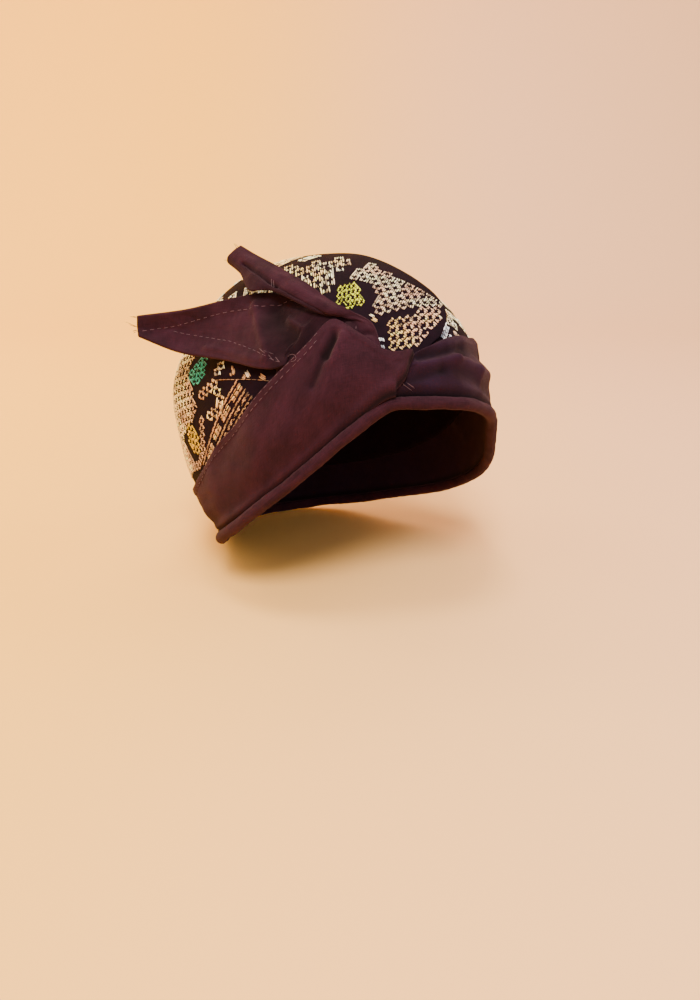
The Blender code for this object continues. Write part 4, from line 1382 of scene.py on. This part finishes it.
def tack(outer, inner, across, down, start, end):
    """One straight stitch on the side of a free end that faces the viewer, and one behind it."""
    u, v = (start[k] + (end[k] - start[k]) * STITCH_STOPS for k in (0, 1))
    rows = np.interp(v, down, np.arange(len(down)))
    columns = u * (len(across) - 1)
    top, low = at_places(outer, rows, columns), at_places(inner, rows, columns)
    away = unit(top - low)
    return np.stack([top + away * 0.1, low - away * 0.1]), np.stack([away, -away])


def flap_tacks(skins):
    """Stitches that hold the flap's corner down on the left band, each on the higher of the skins."""
    stations = []
    normals = []
    share = STITCH_STOPS[:, None]
    for start, end in FLAP_TACKS:
        line = unit(ray(*start) * (1 - share) + ray(*end) * share)
        points, away, _ = landing(skins[0], line)
        lower_points, lower_away, _ = landing(skins[1], line)
        higher = np.linalg.norm(lower_points, axis=1) > np.linalg.norm(points, axis=1)
        points = np.where(higher[:, None], lower_points, points)
        away = np.where(higher[:, None], lower_away, away)
        stations.append(lean(points + away * 0.15))
        normals.append(away)
    return np.array(stations), np.array(normals)


def loose_loop(skin):
    """A loop of sewing thread that stands at the hem."""
    points, away, _ = landing(skin, ray(*LOOP_FOOT)[None])
    side = unit(np.cross(away[0], np.array([0, 0, 1.0])))
    up = np.cross(side, away[0])
    centre = lean(points)[0] + away[0] * LOOP_OUT + up * LOOP_UP
    stations = []
    normals = []
    for k in range(LOOP_PARTS):
        turns = (k + 0.4 + np.array([0, 0.35, 0.75, 1.1])) * 2 * math.pi / 12
        ring = LOOP_WIDER * np.cos(turns)[:, None] * side + np.sin(turns)[:, None] * up
        stations.append(centre + LOOP_RADIUS * ring)
        normals.append(np.repeat(away, 4, axis=0))
    return np.array(stations), np.array(normals)


def frayed(tip, back, outwards, count, reach, chance):
    """Loose yarns that hang out of a cut edge: four stations each."""
    share = chance.uniform(0.04, 0.96, count)
    root = tip[0] + (tip[1] - tip[0]) * share[:, None]
    length = reach * chance.uniform(0.35, 1.0, count)[:, None]
    heading = unit(outwards + chance.normal(0, 0.28, (count, 3)))
    bend = chance.normal(0, 0.35, (count, 3))
    stations = [root - outwards * 0.4, root + heading * length * 0.35,
                root + heading * length * 0.7 + bend * length * 0.3, root + (heading + bend * 0.7) * length]
    normals = np.repeat(unit(np.cross(heading, back))[:, None], 4, axis=1)
    return np.stack(stations, axis=1), normals


def assign(piece, node=None):
    """A piece rides on the body and may stand for a solid, whose part it then hides."""
    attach(piece, "root")
    if node:
        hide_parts(node)


def sew_band(name, span, extra, sizes, colours, chance, material):
    """Two rows of running stitch along a band's hem, between two angles, and what else is sewn there."""
    outer, inner, around, _ = WALLS[name]
    columns = np.flatnonzero((around > span[0]) & (around < span[1]))
    made = []
    for offset in (HEM_ROW, sizes.hem_width / MM + SECOND_ROW):
        rows = hem_line(outer, offset)[columns]
        made.append(running_stitch(outer, inner, rows, columns.astype(float), sizes, chance, both=False))
    finish_seams(name, made + [extra], [], sizes, colours, chance, material)


def sew_end(name, seams, sizes, colours, chance, material):
    """A free end's hem stitches, its tacks and the frayed yarns of its cut edge."""
    outer, inner, across, down = WALLS[name]
    made = []
    for seam in seams:
        path = curve_through(np.array(seam), np.linspace(0, 1, 120))
        rows = np.interp(path[:, 1], down, np.arange(len(down)))
        columns = path[:, 0] * (len(across) - 1)
        made.append(running_stitch(outer, inner, rows, columns, sizes, chance))
    for owner, start, end in TACKS:
        if owner == name:
            made.append(tack(outer, inner, across, down, start, end))
    tip = (outer[2, -1], outer[-3, -1])
    outwards = unit(outer[len(down) // 2, -1] - outer[len(down) // 2, -6])
    loose = [frayed(tip, unit(tip[1] - tip[0]), outwards, FRAYS, FRAY_LENGTH, chance)]
    finish_seams(name, made, loose, sizes, colours, chance, material)


def hem_of(sizes):
    """The turned hem's width and rise, in millimetres."""
    return sizes.hem_width / MM, sizes.hem_rise / MM


class HEADCLOTH_OT_crown(bpy.types.Operator):
    """Brocade ground cloth: the cap and the panel folded over it"""
    bl_idname = "headcloth.crown"
    bl_label = "Crown"

    def execute(self, context):
        colours = context.scene.cloth_colours
        ground = cotton("songket_ground_cotton", colours.ground, colours.ground_deep, sheen=0.0)
        cap = crown_ground(ground)
        panel = fold_ground(ground)
        assign(cap, "crown")
        assign(panel, "crown_fold")
        return {"FINISHED"}


class HEADCLOTH_OT_bands(bpy.types.Operator):
    """The two plain hemmed bands and the wound lower edge"""
    bl_idname = "headcloth.bands"
    bl_label = "Bands"

    def execute(self, context):
        colours = context.scene.cloth_colours
        hem = hem_of(context.scene.cloth_sizes)
        plain = cotton("aubergine_cotton_weave", colours.cotton, colours.cotton_deep)
        # The left band takes a darker, cooler copy of the cotton: painted shade.
        shaded = cotton("aubergine_cotton_painted_shade", colours.cotton_painted_shade, colours.cotton_deep)
        assign(right_band(plain, hem), "right_wrap")
        assign(left_band(shaded, hem), "left_wrap")
        assign(wound_edge(plain), "rim_roll")
        return {"FINISHED"}


class HEADCLOTH_OT_ends(bpy.types.Operator):
    """The two free ends that stand out over the right band"""
    bl_idname = "headcloth.ends"
    bl_label = "Free ends"

    def execute(self, context):
        rise = context.scene.cloth_sizes.hem_rise / MM
        plain = bpy.data.materials["aubergine_cotton_weave"]
        side = free_end("side_end", SIDE_ROOT, SIDE_TAIL, SIDE_SEAMS, 190, plain, rise)
        up = free_end("up_end", UP_ROOT, UP_TAIL, (), 170, plain, rise)
        assign(side, "side_tail")
        assign(up, "up_tail")
        return {"FINISHED"}


class HEADCLOTH_OT_songket(bpy.types.Operator):
    """The brocade's floats, laid thread by thread on the crown"""
    bl_idname = "headcloth.songket"
    bl_label = "Songket floats"

    def execute(self, context):
        sizes = context.scene.cloth_sizes
        colours = context.scene.cloth_colours
        floats = thread("songket_float_thread", 0.4)
        skins = {
            "crown_fold": surface_of(bpy.data.objects["crown_fold_cloth"]),
            "crown": surface_of(bpy.data.objects["crown_cloth"]),
        }
        for name, (points, normals, widths, tints) in lay_floats(skins, sizes, colours).items():
            piece = thread_piece(name + "_floats", lean(points), normals, widths, sizes.float_rise / MM,
                                 tints, floats, FLOAT_SINK)
            assign(piece)
        return {"FINISHED"}


class HEADCLOTH_OT_sewing(bpy.types.Operator):
    """Running stitches, tacks, a loose loop and the frayed yarns of the cut ends"""
    bl_idname = "headcloth.sewing"
    bl_label = "Sewing"

    def execute(self, context):
        sizes = context.scene.cloth_sizes
        colours = context.scene.cloth_colours
        sewing = thread("sewing_thread", 0.7)
        chance = np.random.default_rng(19)
        right, left = [surface_of(bpy.data.objects[name]) for name in ("right_band", "left_band")]
        sew_band("right_band", (-178, -43), loose_loop(right),
                 sizes, colours, chance, sewing)
        sew_band("left_band", (40, 178), flap_tacks((right, left)),
                 sizes, colours, chance, sewing)
        sew_end("side_end", SIDE_SEAMS, sizes, colours, chance, sewing)
        sew_end("up_end", (), sizes, colours, chance, sewing)
        return {"FINISHED"}


class HEADCLOTH_OT_sheets(bpy.types.Operator):
    bl_idname = "headcloth.sheets"
    bl_label = "Flat sizes"

    def execute(self, context):
        return {"FINISHED"}


class HEADCLOTH_OT_stage(bpy.types.Operator):
    """Pale floor, soft studio light and the camera"""
    bl_idname = "headcloth.stage"
    bl_label = "Stage"

    def execute(self, context):
        sizes = context.scene.cloth_sizes
        colours = context.scene.cloth_colours
        backing = paper("backdrop_paper", colours.stage_painted_light, colours.stage)
        level = sizes.floor_level / MM
        sweep = [(SWEEP_FROM + SWEEP_RADIUS * math.sin(a), level + SWEEP_RADIUS * (1 - math.cos(a)))
                 for a in np.linspace(0, math.pi / 2, 17)]
        profile = [(STAGE_FRONT, level), *sweep, (SWEEP_FROM + SWEEP_RADIUS, STAGE_TOP)]
        turn = math.radians(STAGE_TURN)
        points = []
        for side in (-STAGE_HALF, STAGE_HALF):
            for depth, height in profile:
                points.append((side * math.cos(turn) - depth * math.sin(turn),
                               side * math.sin(turn) + depth * math.cos(turn), height))
        count = len(profile)
        faces = [(k, k + 1, count + k + 1, count + k) for k in range(count - 1)]
        new_piece("backdrop", points, faces, backing)
        for name, place, target, size, power, colour in LIGHTS:
            lamp = bpy.data.lights.new(name, "AREA")
            lamp.energy = power
            lamp.size = size
            lamp.color = colour
            holder = bpy.data.objects.new(name, lamp)
            holder.location = place
            holder.rotation_euler = (Vector(target) - Vector(place)).to_track_quat("-Z", "Y").to_euler()
            context.scene.collection.objects.link(holder)
        world = bpy.data.worlds.new("studio_air")
        world.use_nodes = True
        shade = world.node_tree.nodes["Background"]
        shade.inputs["Color"].default_value = (*AIR_COLOUR, 1)
        shade.inputs["Strength"].default_value = AIR_STRENGTH
        context.scene.world = world
        lens = bpy.data.cameras.new("camera")
        lens.lens = CAMERA_LENS
        lens.sensor_width = 36
        lens.clip_start = 0.01
        eye = bpy.data.objects.new("camera", lens)
        eye.location = CAMERA_AT
        eye.rotation_euler = Vector(CAMERA_AIM).to_track_quat("-Z", "Y").to_euler()
        context.scene.collection.objects.link(eye)
        context.scene.camera = eye
        return {"FINISHED"}


class HEADCLOTH_PT_panel(bpy.types.Panel):
    """Lists the head cloth's sizes, colours and building steps"""
    bl_idname = "HEADCLOTH_PT_panel"
    bl_label = "Head Cloth"
    bl_space_type = "VIEW_3D"
    bl_region_type = "UI"
    bl_category = "Head Cloth"

    def draw(self, context):
        for group in (context.scene.cloth_sizes, context.scene.cloth_colours):
            for name in group.__annotations__:
                self.layout.prop(group, name)
        for step in OPERATORS:
            self.layout.operator(step.bl_idname)


OPERATORS = (
    HEADCLOTH_OT_stage, HEADCLOTH_OT_crown, HEADCLOTH_OT_bands, HEADCLOTH_OT_ends,
    HEADCLOTH_OT_songket, HEADCLOTH_OT_sewing, HEADCLOTH_OT_sheets,
)
CLASSES = (ClothSizes, ClothColours, *OPERATORS, HEADCLOTH_PT_panel)


def register():
    for part in CLASSES:
        bpy.utils.register_class(part)
    bpy.types.Scene.cloth_sizes = bpy.props.PointerProperty(type=ClothSizes)
    bpy.types.Scene.cloth_colours = bpy.props.PointerProperty(type=ClothColours)


def unregister():
    del bpy.types.Scene.cloth_colours
    del bpy.types.Scene.cloth_sizes
    for part in reversed(CLASSES):
        bpy.utils.unregister_class(part)


def main():
    register()
    bpy.ops.headcloth.stage()
    bpy.ops.headcloth.crown()
    bpy.ops.headcloth.bands()
    bpy.ops.headcloth.ends()
    bpy.ops.headcloth.songket()
    bpy.ops.headcloth.sewing()
    bpy.ops.headcloth.sheets()


if __name__ == "__main__":
    main()
